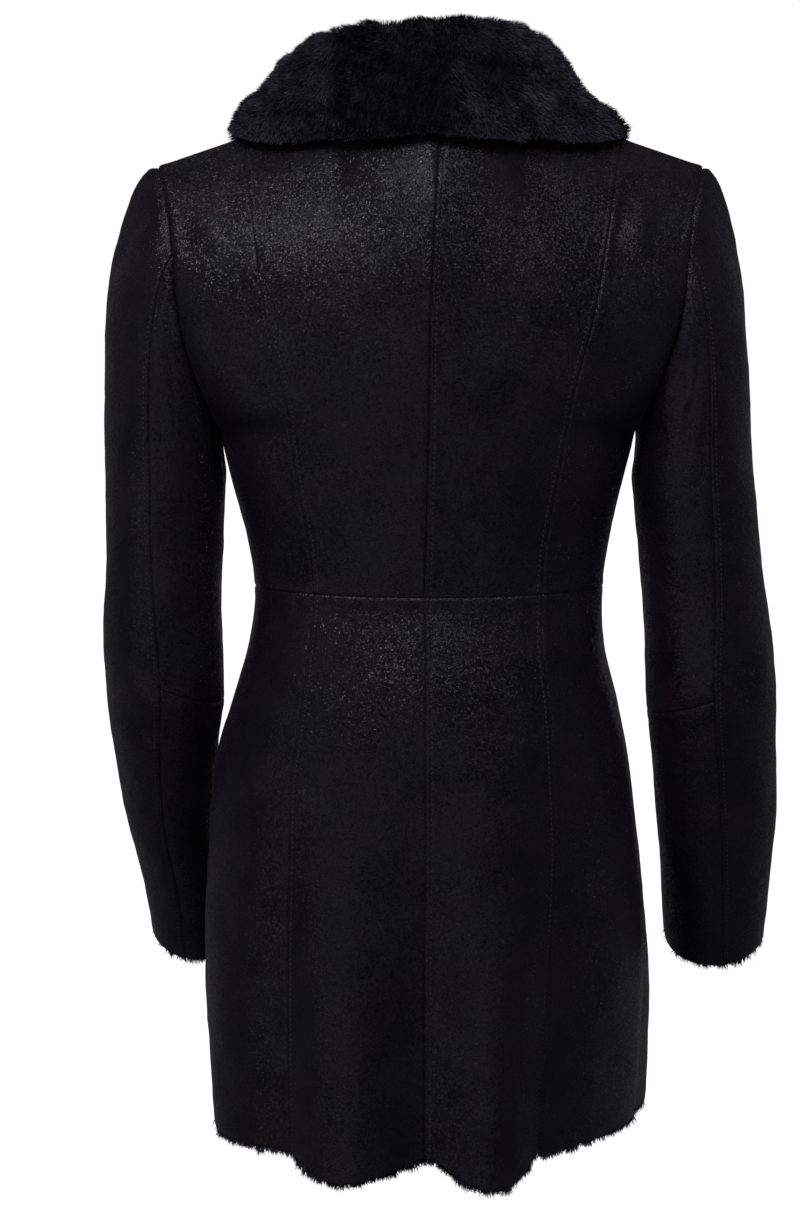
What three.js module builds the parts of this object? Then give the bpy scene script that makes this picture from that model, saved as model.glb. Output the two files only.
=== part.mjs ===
// A fitted, panelled shearling coat, filled out as worn, with nobody in it.
// Millimetres, +Z up, the front faces -Y and the wearer's left is +X. The origin is at the nape.
import * as THREE from 'three';

// Driving dimensions
const WALL = 8; // hide and shorn pile together
const HALF_GAP = 0.15; // each piece's share of the 0.3 mm between sewn pieces
const CHEST_Z = -232; // underarm level
const WAIST_Z = -354;
const HEM_Z = -771;
const WAIST_DIP = 4; // the waist seam is this much lower at the centre back
const NECK_SHARE = 0.35; // share of the half width that the neckline takes
const SQUARE = 0.85; // below 1 a section is squarer than an ellipse
const SHOULDER_TIP = { out: 209, y: 4, z: -31 };
const NECK_POINT = { out: 72, y: 8, z: 15 };
const CHEST_FADE = 2.2; // powers by which the bows of the chest and top lines fade out between them
const TOP_LINE_FADE = { back: 6, front: 2 };
const OVERLAP = 0.2; // share of the half width that each front passes the centre
const OVERLAP_EASE = [0.04, 0.27]; // past it, the under front comes out again between these shares
const LAYER_GAP = 1.5; // between the two overlapping fronts
const MITRE_LIMIT = 0.7; // keeps the wall's inner corner from reaching too far in

// Sections of the body from hem to chest. centre: sideways shift of the middle. left, right: half widths.
// back, front: depths.
const SECTIONS = [
  { z: -790, centre: 0, left: 163, right: 165, back: 128, front: 118 },
  { z: -650, centre: 0, left: 171, right: 172, back: 124, front: 116 },
  { z: -560, centre: 0, left: 169, right: 167, back: 121, front: 113 },
  { z: -490, centre: 0, left: 163, right: 159, back: 117, front: 109 },
  { z: -444, centre: 0, left: 150, right: 150, back: 110, front: 104 },
  { z: -397, centre: -1, left: 138, right: 138, back: 97, front: 99 },
  { z: -354, centre: -2, left: 134, right: 136, back: 86, front: 96 },
  { z: -320, centre: -2, left: 139, right: 140, back: 88, front: 98 },
  { z: -272, centre: -2, left: 152, right: 151, back: 96, front: 110 },
  { z: -232, centre: -2, left: 161, right: 161, back: 102, front: 117 },
];

// Lengthwise seams from hem to chest. seam: the centre-back seam's shift from the middle.
// Princess seams, as shares of the half width: backL and backR on the back, frontP on the front.
const SEAMS = [
  { z: -790, seam: 1, backL: 0.63, backR: 0.5, frontP: 0.5 },
  { z: -650, seam: 1, backL: 0.61, backR: 0.53, frontP: 0.5 },
  { z: -560, seam: 0, backL: 0.61, backR: 0.58, frontP: 0.5 },
  { z: -490, seam: 0, backL: 0.62, backR: 0.6, frontP: 0.5 },
  { z: -444, seam: 0, backL: 0.63, backR: 0.62, frontP: 0.5 },
  { z: -397, seam: 1, backL: 0.65, backR: 0.63, frontP: 0.5 },
  { z: -354, seam: 3, backL: 0.65, backR: 0.63, frontP: 0.5 },
  { z: -320, seam: 2, backL: 0.65, backR: 0.63, frontP: 0.5 },
  { z: -272, seam: 1, backL: 0.65, backR: 0.64, frontP: 0.5 },
  { z: -232, seam: 0, backL: 0.65, backR: 0.64, frontP: 0.51 },
];

// The upper body, by the share of the way up from the chest to the shoulder seam.
const YOKE = [
  { up: 0, centre: -2, seam: 0, backY: 102, frontZ: -232, frontY: -117, backP: 0.645, frontP: 0.51 },
  { up: 0.3, centre: -2, seam: -1, backY: 107, frontZ: -222, frontY: -119, backP: 0.65, frontP: 0.54 },
  { up: 0.6, centre: -3, seam: -3, backY: 104, frontZ: -212, frontY: -120, backP: 0.67, frontP: 0.6 },
  { up: 0.8, centre: -4, seam: -4, backY: 91, frontZ: -205, frontY: -121, backP: 0.69, frontP: 0.66 },
  { up: 1, centre: -4, seam: -5, backY: 62, frontZ: -198, frontY: -121, backP: 0.7, frontP: 0.7 },
];

// The armhole, from the underarm up to the shoulder tip. out: distance from the middle.
const ARMHOLE = {
  back: [
    { up: 0, out: 161, y: 0, z: -232 },
    { up: 0.12, out: 163, y: 24, z: -226 },
    { up: 0.26, out: 171, y: 43, z: -205 },
    { up: 0.42, out: 182, y: 55, z: -174 },
    { up: 0.56, out: 190, y: 58, z: -138 },
    { up: 0.7, out: 194, y: 53, z: -102 },
    { up: 0.86, out: 200, y: 33, z: -63 },
    { up: 1, out: SHOULDER_TIP.out, y: SHOULDER_TIP.y, z: SHOULDER_TIP.z },
  ],
  front: [
    { up: 0, out: 161, y: 0, z: -232 },
    { up: 0.12, out: 162, y: -24, z: -225 },
    { up: 0.26, out: 167, y: -42, z: -203 },
    { up: 0.42, out: 172, y: -52, z: -171 },
    { up: 0.56, out: 177, y: -54, z: -136 },
    { up: 0.7, out: 184, y: -47, z: -101 },
    { up: 0.86, out: 196, y: -28, z: -63 },
    { up: 1, out: SHOULDER_TIP.out, y: SHOULDER_TIP.y, z: SHOULDER_TIP.z },
  ],
};

// The front neckline, from the crossing of the fronts up to the neck point.
const FRONT_NECK = [
  { share: 0, out: 0, y: -121, z: -198 },
  { share: 0.25, out: 22, y: -113, z: -140 },
  { share: 0.5, out: 45, y: -88, z: -73 },
  { share: 0.75, out: 63, y: -44, z: -12 },
  { share: 1, out: NECK_POINT.out, y: NECK_POINT.y, z: NECK_POINT.z },
];

// Sleeve sections, from the upper arm (1) past the elbow seam (2) to the cuff (3).
// x, y: middle of the section. tilt: rise for each mm outward. lean: drop for each mm towards the back.
// seam: the hind seam's angle from the outer side.
const SLEEVES = {
  left: [
    { at: 1, z: -272, x: 201.5, y: 0, wide: 46.5, deep: 57, tilt: 0, lean: 0, seam: 81 },
    { at: 1.5, z: -345, x: 203, y: 1, wide: 45, deep: 54, tilt: 0.15, lean: 0.03, seam: 84 },
    { at: 2, z: -426, x: 203.5, y: -3, wide: 46, deep: 53, tilt: 0.38, lean: 0.08, seam: 92 },
    { at: 2.3, z: -476, x: 204, y: -24, wide: 40, deep: 51, tilt: 0.3, lean: 0.18, seam: 91 },
    { at: 2.6, z: -540, x: 202, y: -60, wide: 36, deep: 48, tilt: 0.2, lean: 0.3, seam: 89 },
    { at: 2.8, z: -593, x: 192.5, y: -90, wide: 36.5, deep: 46, tilt: 0.15, lean: 0.35, seam: 85 },
    { at: 3, z: -649, x: 188, y: -112, wide: 37, deep: 44, tilt: 0.1, lean: 0.38, seam: 80 },
  ],
  right: [
    { at: 1, z: -272, x: 208, y: 0, wide: 47, deep: 57, tilt: 0, lean: 0, seam: 80 },
    { at: 1.5, z: -350, x: 215.5, y: 1, wide: 47, deep: 54, tilt: 0.15, lean: 0.03, seam: 84 },
    { at: 2, z: -434, x: 223.5, y: 1, wide: 49.5, deep: 53, tilt: 0.36, lean: 0.08, seam: 94 },
    { at: 2.3, z: -484, x: 228, y: -14, wide: 48.5, deep: 52, tilt: 0.3, lean: 0.18, seam: 93 },
    { at: 2.6, z: -550, x: 233, y: -38, wide: 46, deep: 49, tilt: 0.2, lean: 0.3, seam: 92 },
    { at: 3, z: -644, x: 235, y: -72, wide: 38, deep: 45, tilt: 0.1, lean: 0.38, seam: 88 },
  ],
};
const FORE_SEAM_ANGLE = 235;
const HIND_SEAM_UP = 0.7; // where the hind seam meets the back armhole
const FORE_SEAM_UP = 0.34; // where the fore seam meets the front armhole
// The sleeve leaves the armhole in this direction, in shares of the way to the upper arm.
const CAP = { out: 0.35, turnedBack: 0.18, down: 0.6, turnedUp: 0.2, arrive: 0.75 };
const CAP_FULLNESS = { left: 0.3, right: 0.16 }; // how far it stands out on the outer side
const SLEEVE_HEAD = { rise: 3, crest: 0.05, end: 0.3 }; // the small roll at the top, by share of the cap
const CAP_STEPS = [0, 0.05, 0.14, 0.27, 0.43, 0.62, 0.81, 1];
const ELBOW_STEPS = [1.25, 1.5, 1.75, 2];
const CUFF_STEPS = [2, 2.12, 2.24, 2.36, 2.5, 2.65, 2.8, 2.9, 3];

// The skirt's hem and folds, panel by panel. bulge: how far the middle of a panel stands out at the hem.
// dip: how much lower the hem is there than at the panel's seams.
const SKIRT_FOLDS = {
  left: {
    back_centre: { bulge: 20, dip: 9 },
    back_side: { bulge: 5, dip: 0 },
    front_side: { bulge: 4, dip: 3 },
    front_centre: { bulge: 12, dip: 5 },
  },
  right: {
    back_centre: { bulge: 23, dip: 12 },
    back_side: { bulge: -9, dip: -2 },
    front_side: { bulge: 27, dip: 3 },
    front_centre: { bulge: 13, dip: 5 },
  },
};
const FOLD_TOP_Z = -400; // the folds fade out at this height
const FOLD_SHARPNESS = 1.2;
const PLACKET_EASE = 0.05; // the front fold starts this share beyond the overlap
const WAIST_DIP_END_Z = -414;

// The collar, from the centre back to the end of the lapel. along: 0 centre back, 1 neck point, 2 crossing.
// fold: middle of the thickness at the roll. edgeS, edgeQ: where the edge lies on the body; edgeQ is
// negative on the back, 0 on the shoulder seam and positive on the front.
const COLLAR = [
  { along: 0, foldX: 0, foldY: 75, foldZ: 64, edgeS: 0, edgeQ: -0.075 },
  { along: 0.5, foldX: 56, foldY: 57, foldZ: 64, edgeS: 0.33, edgeQ: -0.09 },
  { along: 0.8, foldX: 79, foldY: 29, foldZ: 60, edgeS: 0.58, edgeQ: -0.06 },
  { along: 1, foldX: 86, foldY: 0, foldZ: 54, edgeS: 0.71, edgeQ: -0.01 },
  { along: 1.25, foldX: 79, foldY: -50, foldZ: 28, edgeS: 0.68, edgeQ: 0.11 },
  { along: 1.5, foldX: 57, foldY: -103, foldZ: -42, edgeS: 0.56, edgeQ: 0.33 },
  { along: 1.75, foldX: 32, foldY: -136, foldZ: -118, edgeS: 0.43, edgeQ: 0.6 },
  { along: 2, foldX: 8, foldY: -146, foldZ: -190, edgeS: 0.24, edgeQ: 0.88 },
];
const LAPEL_END = 1.93; // the two ends stop just short of each other
const COLLAR_SHIFT = -1; // sideways shift of the collar's middle
const COLLAR_TILT = 0.03; // the wearer's right of the collar stands higher
const COLLAR_TILT_OUT = 60; // by so much, from this far out
// Across the collar: share from the neckline (0) over the roll (0.57) to the edge (1), and the thickness.
const COLLAR_ACROSS = [
  { share: 0.14, thick: 8 },
  { share: 0.28, thick: 11 },
  { share: 0.43, thick: 13 },
  { share: 0.5, thick: 13 },
  { share: 0.57, thick: 13 },
  { share: 0.65, thick: 14 },
  { share: 0.75, thick: 14 },
  { share: 0.86, thick: 14 },
  { share: 0.96, thick: 13 },
  { share: 1, thick: 7 },
];
const LAPEL_EASE = 2; // extra clearance where a front's neckline turns in
const LAPEL_TURN = 1.3; // the under front's neckline turns in from here on
const COLLAR_LIFT = 7.5; // the middle of the collar's edge above the body
const COLLAR_SPRING = 9; // the collar first runs on in line with the body's wall
const SHOULDER_BLEND = 0.1; // the edge turns from the back's direction to the front's within this
// The roll at the fold, in shares of its radius: away from the neck, and along the rise and the fall.
const ROLL = { radius: 9, before: { away: -0.8, rise: -0.9 }, after: { away: 0.5, fall: 1 } };

const BUTTONS = { top: -242, pitch: 74, count: 4, lift: 0.3 };
const BUTTON = { radius: 14, thick: 5, bevel: 2, rim: 2, dish: 1.2 };
const BUTTON_SEAT = { shares: [-0.08, 0, 0.08], rises: [-1, -0.5, 0, 0.5, 1] }; // where the front is felt

// Grid fineness
const COLUMNS = { back_centre: 10, back_side: 5, front_side: 5, front_centre: 10 };
const LOWER_BODICE_ROWS = 5;
const SKIRT_ROWS = 12;
const TIP_TO_HIND = 4;
const HIND_TO_UNDERARM = 7;
const UNDERARM_TO_FORE = 4;
const FORE_TO_TIP = 7;
const BUTTON_SIDES = 20;

// Small steps for directions taken from two near points
const NEAR = { angle: 0.02, up: 0.015, z: 2, arm: 0.02, along: 0.02, across: 0.02 };
const UNDERARM_SLOPE = -0.15; // at the underarm the body's side faces out and slightly down
const SIDE = 0.985; // the share of the half width that stands for a panel's direction at its side

const SUEDE = { color: 0x1b191c, roughness: 0.72, metalness: 0 };
const FUR = { color: 0x0e0e13, roughness: 0.95, metalness: 0 };
const HORN = { color: 0x121214, roughness: 0.35, metalness: 0 };

const vec = (x, y, z) => new THREE.Vector3(x, y, z);
const mix = (a, b, share) => a + (b - a) * share;
const mixed = (a, b, share) => a.clone().lerp(b, share);
const radians = THREE.MathUtils.degToRad;
const smooth = THREE.MathUtils.smoothstep;

// A smooth curve through one column of a table, read at a value of its key column.
function read(table, key, column, at) {
  const rows = table[0][key] < table[table.length - 1][key] ? table : [...table].reverse();
  const last = rows.length - 1;
  const inside = Math.min(Math.max(at, rows[0][key]), rows[last][key]);
  let i = 0;
  while (i < last - 1 && inside > rows[i + 1][key]) i += 1;
  const step = (k) => (rows[k + 1][column] - rows[k][column]) / (rows[k + 1][key] - rows[k][key]);
  const slope = (k) => {
    if (k === 0) return step(0);
    if (k === last) return step(last - 1);
    return (step(k - 1) + step(k)) / 2;
  };
  const span = rows[i + 1][key] - rows[i][key];
  const u = (inside - rows[i][key]) / span;
  const rise = rows[i + 1][column] - rows[i][column];
  const start = slope(i) * span;
  const end = slope(i + 1) * span;
  return rows[i][column] + u * (start + u * (3 * rise - 2 * start - end + u * (start + end - 2 * rise)));
}

const shareOf = (angle) => Math.sign(angle) * Math.sin(Math.abs(angle)) ** SQUARE;
const angleOf = (share) => Math.sign(share) * Math.asin(Math.min(1, Math.abs(share)) ** (1 / SQUARE));

// A point of the body's outer surface at or below the chest.
function ringPoint(face, side, share, z) {
  const half = read(SECTIONS, 'z', side > 0 ? 'left' : 'right', z);
  const depth = read(SECTIONS, 'z', face, z) * (face === 'back' ? 1 : -1);
  const x = read(SECTIONS, 'z', 'centre', z) + side * half * share;
  return vec(x, depth * Math.cos(angleOf(share)) ** SQUARE, z);
}

// Neckline and shoulder seam, from the centre (0) to the shoulder tip (1).
function topPoint(face, side, share) {
  const centre = YOKE[YOKE.length - 1].centre;
  if (share >= NECK_SHARE) {
    const u = (share - NECK_SHARE) / (1 - NECK_SHARE);
    const along = (column) => mix(NECK_POINT[column], SHOULDER_TIP[column], u);
    return vec(centre + side * along('out'), along('y'), along('z'));
  }
  const u = share / NECK_SHARE;
  if (face === 'front') {
    const out = read(FRONT_NECK, 'share', 'out', u);
    return vec(centre + side * out, read(FRONT_NECK, 'share', 'y', u), read(FRONT_NECK, 'share', 'z', u));
  }
  const turn = (u * Math.PI) / 2;
  const nape = YOKE[YOKE.length - 1].backY;
  const y = NECK_POINT.y + (nape - NECK_POINT.y) * Math.cos(turn);
  return vec(centre + side * NECK_POINT.out * Math.sin(turn), y, NECK_POINT.z * (1 - Math.cos(turn)));
}

function centrePoint(face, up) {
  const centre = read(YOKE, 'up', 'centre', up);
  if (face === 'back') return vec(centre, read(YOKE, 'up', 'backY', up), CHEST_Z * (1 - up));
  return vec(centre, read(YOKE, 'up', 'frontY', up), read(YOKE, 'up', 'frontZ', up));
}

function armholePoint(face, side, up) {
  const rows = ARMHOLE[face];
  const x = read(YOKE, 'up', 'centre', up) + side * read(rows, 'up', 'out', up);
  return vec(x, read(rows, 'up', 'y', up), read(rows, 'up', 'z', up));
}

// How far a curve departs from the straight line between its ends, at a share of the way.
function bow(curve, share) {
  return curve(share).sub(mixed(curve(0), curve(1), share));
}

// The upper body, spanned between the centre line and the armhole. The bow of the chest line fades out
// on the way up from it, and that of the top line on the way down.
function yokePoint(face, side, share, up) {
  const point = mixed(centrePoint(face, up), armholePoint(face, side, up), share);
  point.addScaledVector(bow((s) => ringPoint(face, side, s, CHEST_Z), share), (1 - up) ** CHEST_FADE);
  return point.addScaledVector(bow((s) => topPoint(face, side, s), share), up ** TOP_LINE_FADE[face]);
}

// A point of the whole outer surface. level: a height z at or below the chest, or the share above it.
function bodyPoint(face, side, share, level) {
  if (share < 0) return bodyPoint(face, -side, -share, level);
  return level < 0 ? ringPoint(face, side, share, level) : yokePoint(face, side, share, level);
}

// Outward normal, from two near points across and two upward. The points stay on their part of the body.
function bodyNormal(face, side, share, level) {
  const above = level >= 0;
  if (share > 0.999 && !above) return vec(side, 0, 0);
  const step = above ? NEAR.up : NEAR.z;
  const high = Math.min((above ? Math.max(level, 2 * step) : level) + step, above ? 1 : CHEST_Z);
  const turn = Math.min(angleOf(share) + NEAR.angle, Math.PI / 2);
  const at = (angle, height) => bodyPoint(face, side, shareOf(angle), height);
  const across = at(turn, high - step).sub(at(turn - 2 * NEAR.angle, high - step));
  const upward = at(angleOf(share), high).sub(at(angleOf(share), high - 2 * step));
  return across.cross(upward).normalize().multiplyScalar((face === 'back' ? -1 : 1) * side);
}

// How far the under front is moved in, so that the upper front lies on it.
function underlap(face, side, share, level) {
  if (face === 'back' || side < 0) return 0;
  const covered = OVERLAP * (1 - Math.max(0, level));
  return (WALL + LAYER_GAP) * (1 - smooth(share, covered + OVERLAP_EASE[0], covered + OVERLAP_EASE[1]));
}

// Seam positions as shares of the half width.
function seamShare(name, face, side, level) {
  const low = level < 0;
  const rows = low ? SEAMS : YOKE;
  const key = low ? 'z' : 'up';
  if (name === 'princess') {
    if (face === 'front') return read(rows, key, 'frontP', level);
    return read(rows, key, low ? (side > 0 ? 'backL' : 'backR') : 'backP', level);
  }
  if (name === 'side') return 1;
  if (face === 'front') return low ? -OVERLAP : -OVERLAP * (1 - level) ** 2;
  const half = low ? read(SECTIONS, 'z', 'left', level) : SHOULDER_TIP.out;
  return (side * read(rows, key, 'seam', level)) / half;
}

const PANELS = {
  back_centre: { face: 'back', from: 'centre', to: 'princess' },
  back_side: { face: 'back', from: 'princess', to: 'side' },
  front_side: { face: 'front', from: 'princess', to: 'side' },
  front_centre: { face: 'front', from: 'centre', to: 'princess' },
};

// Share of the half width at column u of a panel. The middle column of a centre panel ends at the neck point.
function panelShare(panel, side, u, level) {
  const { face, from, to } = PANELS[panel];
  const first = angleOf(seamShare(from, face, side, level));
  const last = angleOf(seamShare(to, face, side, level));
  let angle = mix(first, last, u);
  if (from === 'centre' && level > 0) {
    const shift = angleOf(NECK_SHARE) - (first + last) / 2;
    angle += 4 * u * (1 - u) * shift * level ** 3;
  }
  return shareOf(angle);
}

// Where back and front meet on the shoulder, the wall's inner edge lies between their two normals.
function shoulderNormal(side, share) {
  const back = bodyNormal('back', side, share, 1);
  const front = bodyNormal('front', side, share, 1);
  const between = back.clone().add(front).normalize();
  return between.divideScalar(Math.max(MITRE_LIMIT, between.dot(back)));
}

// Rows of the upper body, by their share of the way up. They carry the sleeve's columns at the armhole.
function yokeRows(face) {
  const seamUp = face === 'back' ? HIND_SEAM_UP : FORE_SEAM_UP;
  const below = face === 'back' ? HIND_TO_UNDERARM : UNDERARM_TO_FORE;
  const above = face === 'back' ? TIP_TO_HIND : FORE_TO_TIP;
  const rows = [];
  for (let i = 1; i <= below; i += 1) rows.push((seamUp * i) / below);
  for (let i = 1; i <= above; i += 1) rows.push(mix(seamUp, 1, i / above));
  return rows;
}

// The column from which a panel's top edge is the shoulder seam.
const shoulderColumn = (panel) => (PANELS[panel].from === 'centre' ? COLUMNS[panel] / 2 : 0);

// Grids of outer and inner points, by row and column.
function bodiceGrids(panel, side) {
  const { face, to } = PANELS[panel];
  const levels = [];
  for (let i = 0; i < LOWER_BODICE_ROWS; i += 1) levels.push(mix(WAIST_Z, CHEST_Z, i / LOWER_BODICE_ROWS));
  levels.push(CHEST_Z, ...yokeRows(face));
  const columns = COLUMNS[panel];
  const shoulder = shoulderColumn(panel);
  const outer = [];
  const inner = [];
  levels.forEach((level, row) => {
    outer.push([]);
    inner.push([]);
    for (let column = 0; column <= columns; column += 1) {
      const u = column / columns;
      const share = panelShare(panel, side, u, level);
      const point = bodyPoint(face, side, share, level);
      let normal = bodyNormal(face, side, share, level);
      const mitred = level === 1 && column >= shoulder;
      if (mitred) normal = shoulderNormal(side, Math.min(Math.max(share, NECK_SHARE + 0.03), SIDE));
      point.addScaledVector(normal, -underlap(face, side, share, level));
      if (row === 0) point.z -= waistDip(face, share);
      const atArmhole = to === 'side' && column === columns && row >= LOWER_BODICE_ROWS;
      const inside = atArmhole
        ? armholeInner(face, side, Math.max(0, level))
        : point.clone().addScaledVector(normal, -WALL);
      if (level > 0 && level < 1) keepToItsSide(face, side, share, inside);
      outer[row].push(point);
      inner[row].push(inside);
    }
  });
  return { outer, inner };
}

// Near the shoulder seam, the wall's inner points stay a millimetre on their own side of it.
function keepToItsSide(face, side, share, inside) {
  const seam = topPoint(face, side, Math.max(NECK_SHARE, Math.abs(share))).y;
  inside.y = face === 'back' ? Math.max(inside.y, seam + 1) : Math.min(inside.y, seam - 1);
}

const waistDip = (face, share) => (face === 'back' ? WAIST_DIP * (1 - share * share) : 0);

// How far a skirt panel stands out across its width: nothing at its seams, nor where the fronts overlap.
function foldArch(panel, side, u) {
  if (panel !== 'front_centre') return Math.sin(Math.PI * u) ** FOLD_SHARPNESS;
  const share = panelShare(panel, side, u, HEM_Z);
  const flat = OVERLAP + PLACKET_EASE;
  const free = Math.max(0, (share - flat) / (panelShare(panel, side, 1, HEM_Z) - flat));
  return Math.sin(Math.PI * Math.min(1, free)) ** FOLD_SHARPNESS;
}

function skirtGrids(panel, side) {
  const { face } = PANELS[panel];
  const columns = COLUMNS[panel];
  const fold = SKIRT_FOLDS[side > 0 ? 'left' : 'right'][panel];
  const outer = [];
  const inner = [];
  for (let row = 0; row <= SKIRT_ROWS; row += 1) {
    outer.push([]);
    inner.push([]);
    for (let column = 0; column <= columns; column += 1) {
      const u = column / columns;
      const arch = foldArch(panel, side, u);
      const hem = HEM_Z - fold.dip * arch;
      const z = mix(hem, WAIST_Z, row / SKIRT_ROWS);
      const share = panelShare(panel, side, u, z);
      const point = bodyPoint(face, side, share, z);
      const normal = bodyNormal(face, side, share, z);
      const flat = vec(normal.x, normal.y, 0).normalize();
      const shown = smooth(FOLD_TOP_Z - z, 0, FOLD_TOP_Z - HEM_Z);
      point.addScaledVector(flat, fold.bulge * arch * shown);
      point.addScaledVector(normal, -underlap(face, side, share, z));
      point.z -= waistDip(face, share) * smooth(z, WAIST_DIP_END_Z, WAIST_Z);
      outer[row].push(point);
      inner[row].push(point.clone().addScaledVector(normal, -WALL));
    }
  }
  return { outer, inner };
}

// The sleeve's columns run from the shoulder tip back round the arm. Each has its place on the armhole
// and its angle on the arm, measured from the outer side towards the back.
function sleeveColumns() {
  const columns = [];
  const add = (count, face, upFrom, upTo, turnFrom, turnTo) => {
    for (let i = 0; i < count; i += 1) {
      const u = i / count;
      columns.push({ face, up: mix(upFrom, upTo, u), turn: mix(turnFrom, turnTo, u) });
    }
  };
  add(TIP_TO_HIND, 'back', 1, HIND_SEAM_UP, 0, 1);
  add(HIND_TO_UNDERARM, 'back', HIND_SEAM_UP, 0, 1, 2);
  add(UNDERARM_TO_FORE, 'front', 0, FORE_SEAM_UP, 2, 3);
  add(FORE_TO_TIP, 'front', FORE_SEAM_UP, 1, 3, 4);
  return columns;
}

// turn counts the seams round the arm: 0 outer side, 1 hind seam, 2 underarm, 3 fore seam, 4 outer side.
function turnAngle(turn, hindSeam) {
  const stops = [0, hindSeam, 180, FORE_SEAM_ANGLE, 360];
  const low = Math.min(3, Math.floor(turn));
  return radians(mix(stops[low], stops[low + 1], turn - low));
}

function armPoint(side, turn, at) {
  const rows = SLEEVES[side > 0 ? 'left' : 'right'];
  const get = (column) => read(rows, 'at', column, at);
  const angle = turnAngle(turn, get('seam'));
  const out = get('wide') * Math.cos(angle);
  const y = get('y') + get('deep') * Math.sin(angle);
  const z = get('z') + get('tilt') * out - get('lean') * (y - get('y'));
  return vec(side * (get('x') + out), y, z);
}

// Between the armhole and the upper arm, a cubic curve leaves the one and arrives at the other.
function sleevePoint(side, column, at) {
  if (at >= 1) return armPoint(side, column.turn, at);
  const start = armholePoint(column.face, side, column.up);
  const end = armPoint(side, column.turn, 1);
  const reach = start.distanceTo(end);
  const angle = turnAngle(column.turn, SLEEVES.left[0].seam);
  const out = CAP.out + CAP_FULLNESS[side > 0 ? 'left' : 'right'] * Math.cos(angle);
  const leave = vec(side * out, CAP.turnedBack * Math.sin(angle), CAP.turnedUp * Math.cos(angle) - CAP.down);
  const arrive = armPoint(side, column.turn, 1.1).sub(end).setLength(CAP.arrive * reach);
  const point = start.multiplyScalar(1 + at * at * (2 * at - 3));
  point.addScaledVector(leave, reach * at * (1 - at) * (1 - at));
  point.addScaledVector(end, at * at * (3 - 2 * at));
  point.addScaledVector(arrive, at * at * (at - 1));
  const { rise, crest, end: foot } = SLEEVE_HEAD;
  point.z += rise * Math.max(0, Math.cos(angle)) * smooth(at, 0, crest) * (1 - smooth(at, crest, foot));
  return point;
}

function sleeveNormal(side, columns, index, at) {
  const count = columns.length;
  const before = sleevePoint(side, columns[(index + count - 1) % count], at);
  const after = sleevePoint(side, columns[(index + 1) % count], at);
  const middle = Math.max(at, NEAR.arm);
  const down = sleevePoint(side, columns[index], Math.min(3, middle + NEAR.arm));
  down.sub(sleevePoint(side, columns[index], middle - NEAR.arm));
  return after.sub(before).cross(down).multiplyScalar(side).negate().normalize();
}

const sleeveRing = sleeveColumns();

// The armhole seam's inner edge lies between the body's normal and the sleeve's, so both walls end on it.
function armholeInner(face, side, up) {
  const here = (column) => Math.abs(column.up - up) < 1e-6 && (column.face === face || up === 0 || up === 1);
  const sleeve = sleeveNormal(side, sleeveRing, sleeveRing.findIndex(here), 0);
  let body = bodyNormal(face, side, SIDE, up);
  if (up === 0) body = vec(side, 0, UNDERARM_SLOPE).normalize();
  if (up === 1) body = shoulderNormal(side, SIDE).normalize();
  const between = body.clone().add(sleeve).normalize();
  const reach = WALL / Math.max(MITRE_LIMIT, between.dot(body));
  return armholePoint(face, side, up).addScaledVector(between, -reach);
}

// A stretch of sleeve between two turns and two steps down the arm.
function sleeveGrids(side, first, last, steps) {
  const outer = [];
  const inner = [];
  steps.forEach((at, row) => {
    outer.push([]);
    inner.push([]);
    for (let i = first; i <= last; i += 1) {
      const index = i % sleeveRing.length;
      const column = sleeveRing[index];
      const point = sleevePoint(side, column, at);
      outer[row].push(point);
      if (at === 0) {
        inner[row].push(armholeInner(column.face, side, column.up));
      } else {
        inner[row].push(point.clone().addScaledVector(sleeveNormal(side, sleeveRing, index, at), -WALL));
      }
    }
  });
  return { outer, inner };
}

// Moves the points on sewn edges in by half the gap. sewn: which of the four edges are seams. topFrom: the
// column from which the top edge is one.
function insetSeams({ outer, inner }, sewn) {
  const rows = outer.length - 1;
  const columns = outer[0].length - 1;
  const shifts = [];
  const plan = (row, column, inward, alongA, alongB) => {
    const along = outer[alongB[0]][alongB[1]].clone().sub(outer[alongA[0]][alongA[1]]).normalize();
    const shift = outer[inward[0]][inward[1]].clone().sub(outer[row][column]);
    shift.addScaledVector(along, -shift.dot(along)).setLength(HALF_GAP);
    shifts.push({ row, column, shift });
  };
  for (let row = 0; row <= rows; row += 1) {
    const low = Math.max(0, row - 1);
    const high = Math.min(rows, row + 1);
    if (sewn.first) plan(row, 0, [row, 1], [low, 0], [high, 0]);
    if (sewn.last) plan(row, columns, [row, columns - 1], [low, columns], [high, columns]);
  }
  for (let column = 0; column <= columns; column += 1) {
    const low = Math.max(0, column - 1);
    const high = Math.min(columns, column + 1);
    if (sewn.bottom) plan(0, column, [1, column], [0, low], [0, high]);
    if (sewn.top && column >= (sewn.topFrom ?? 0)) {
      plan(rows, column, [rows - 1, column], [rows, low], [rows, high]);
    }
  }
  shifts.forEach(({ row, column, shift }) => {
    outer[row][column].add(shift);
    inner[row][column].add(shift);
  });
}

const never = () => false;

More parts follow.
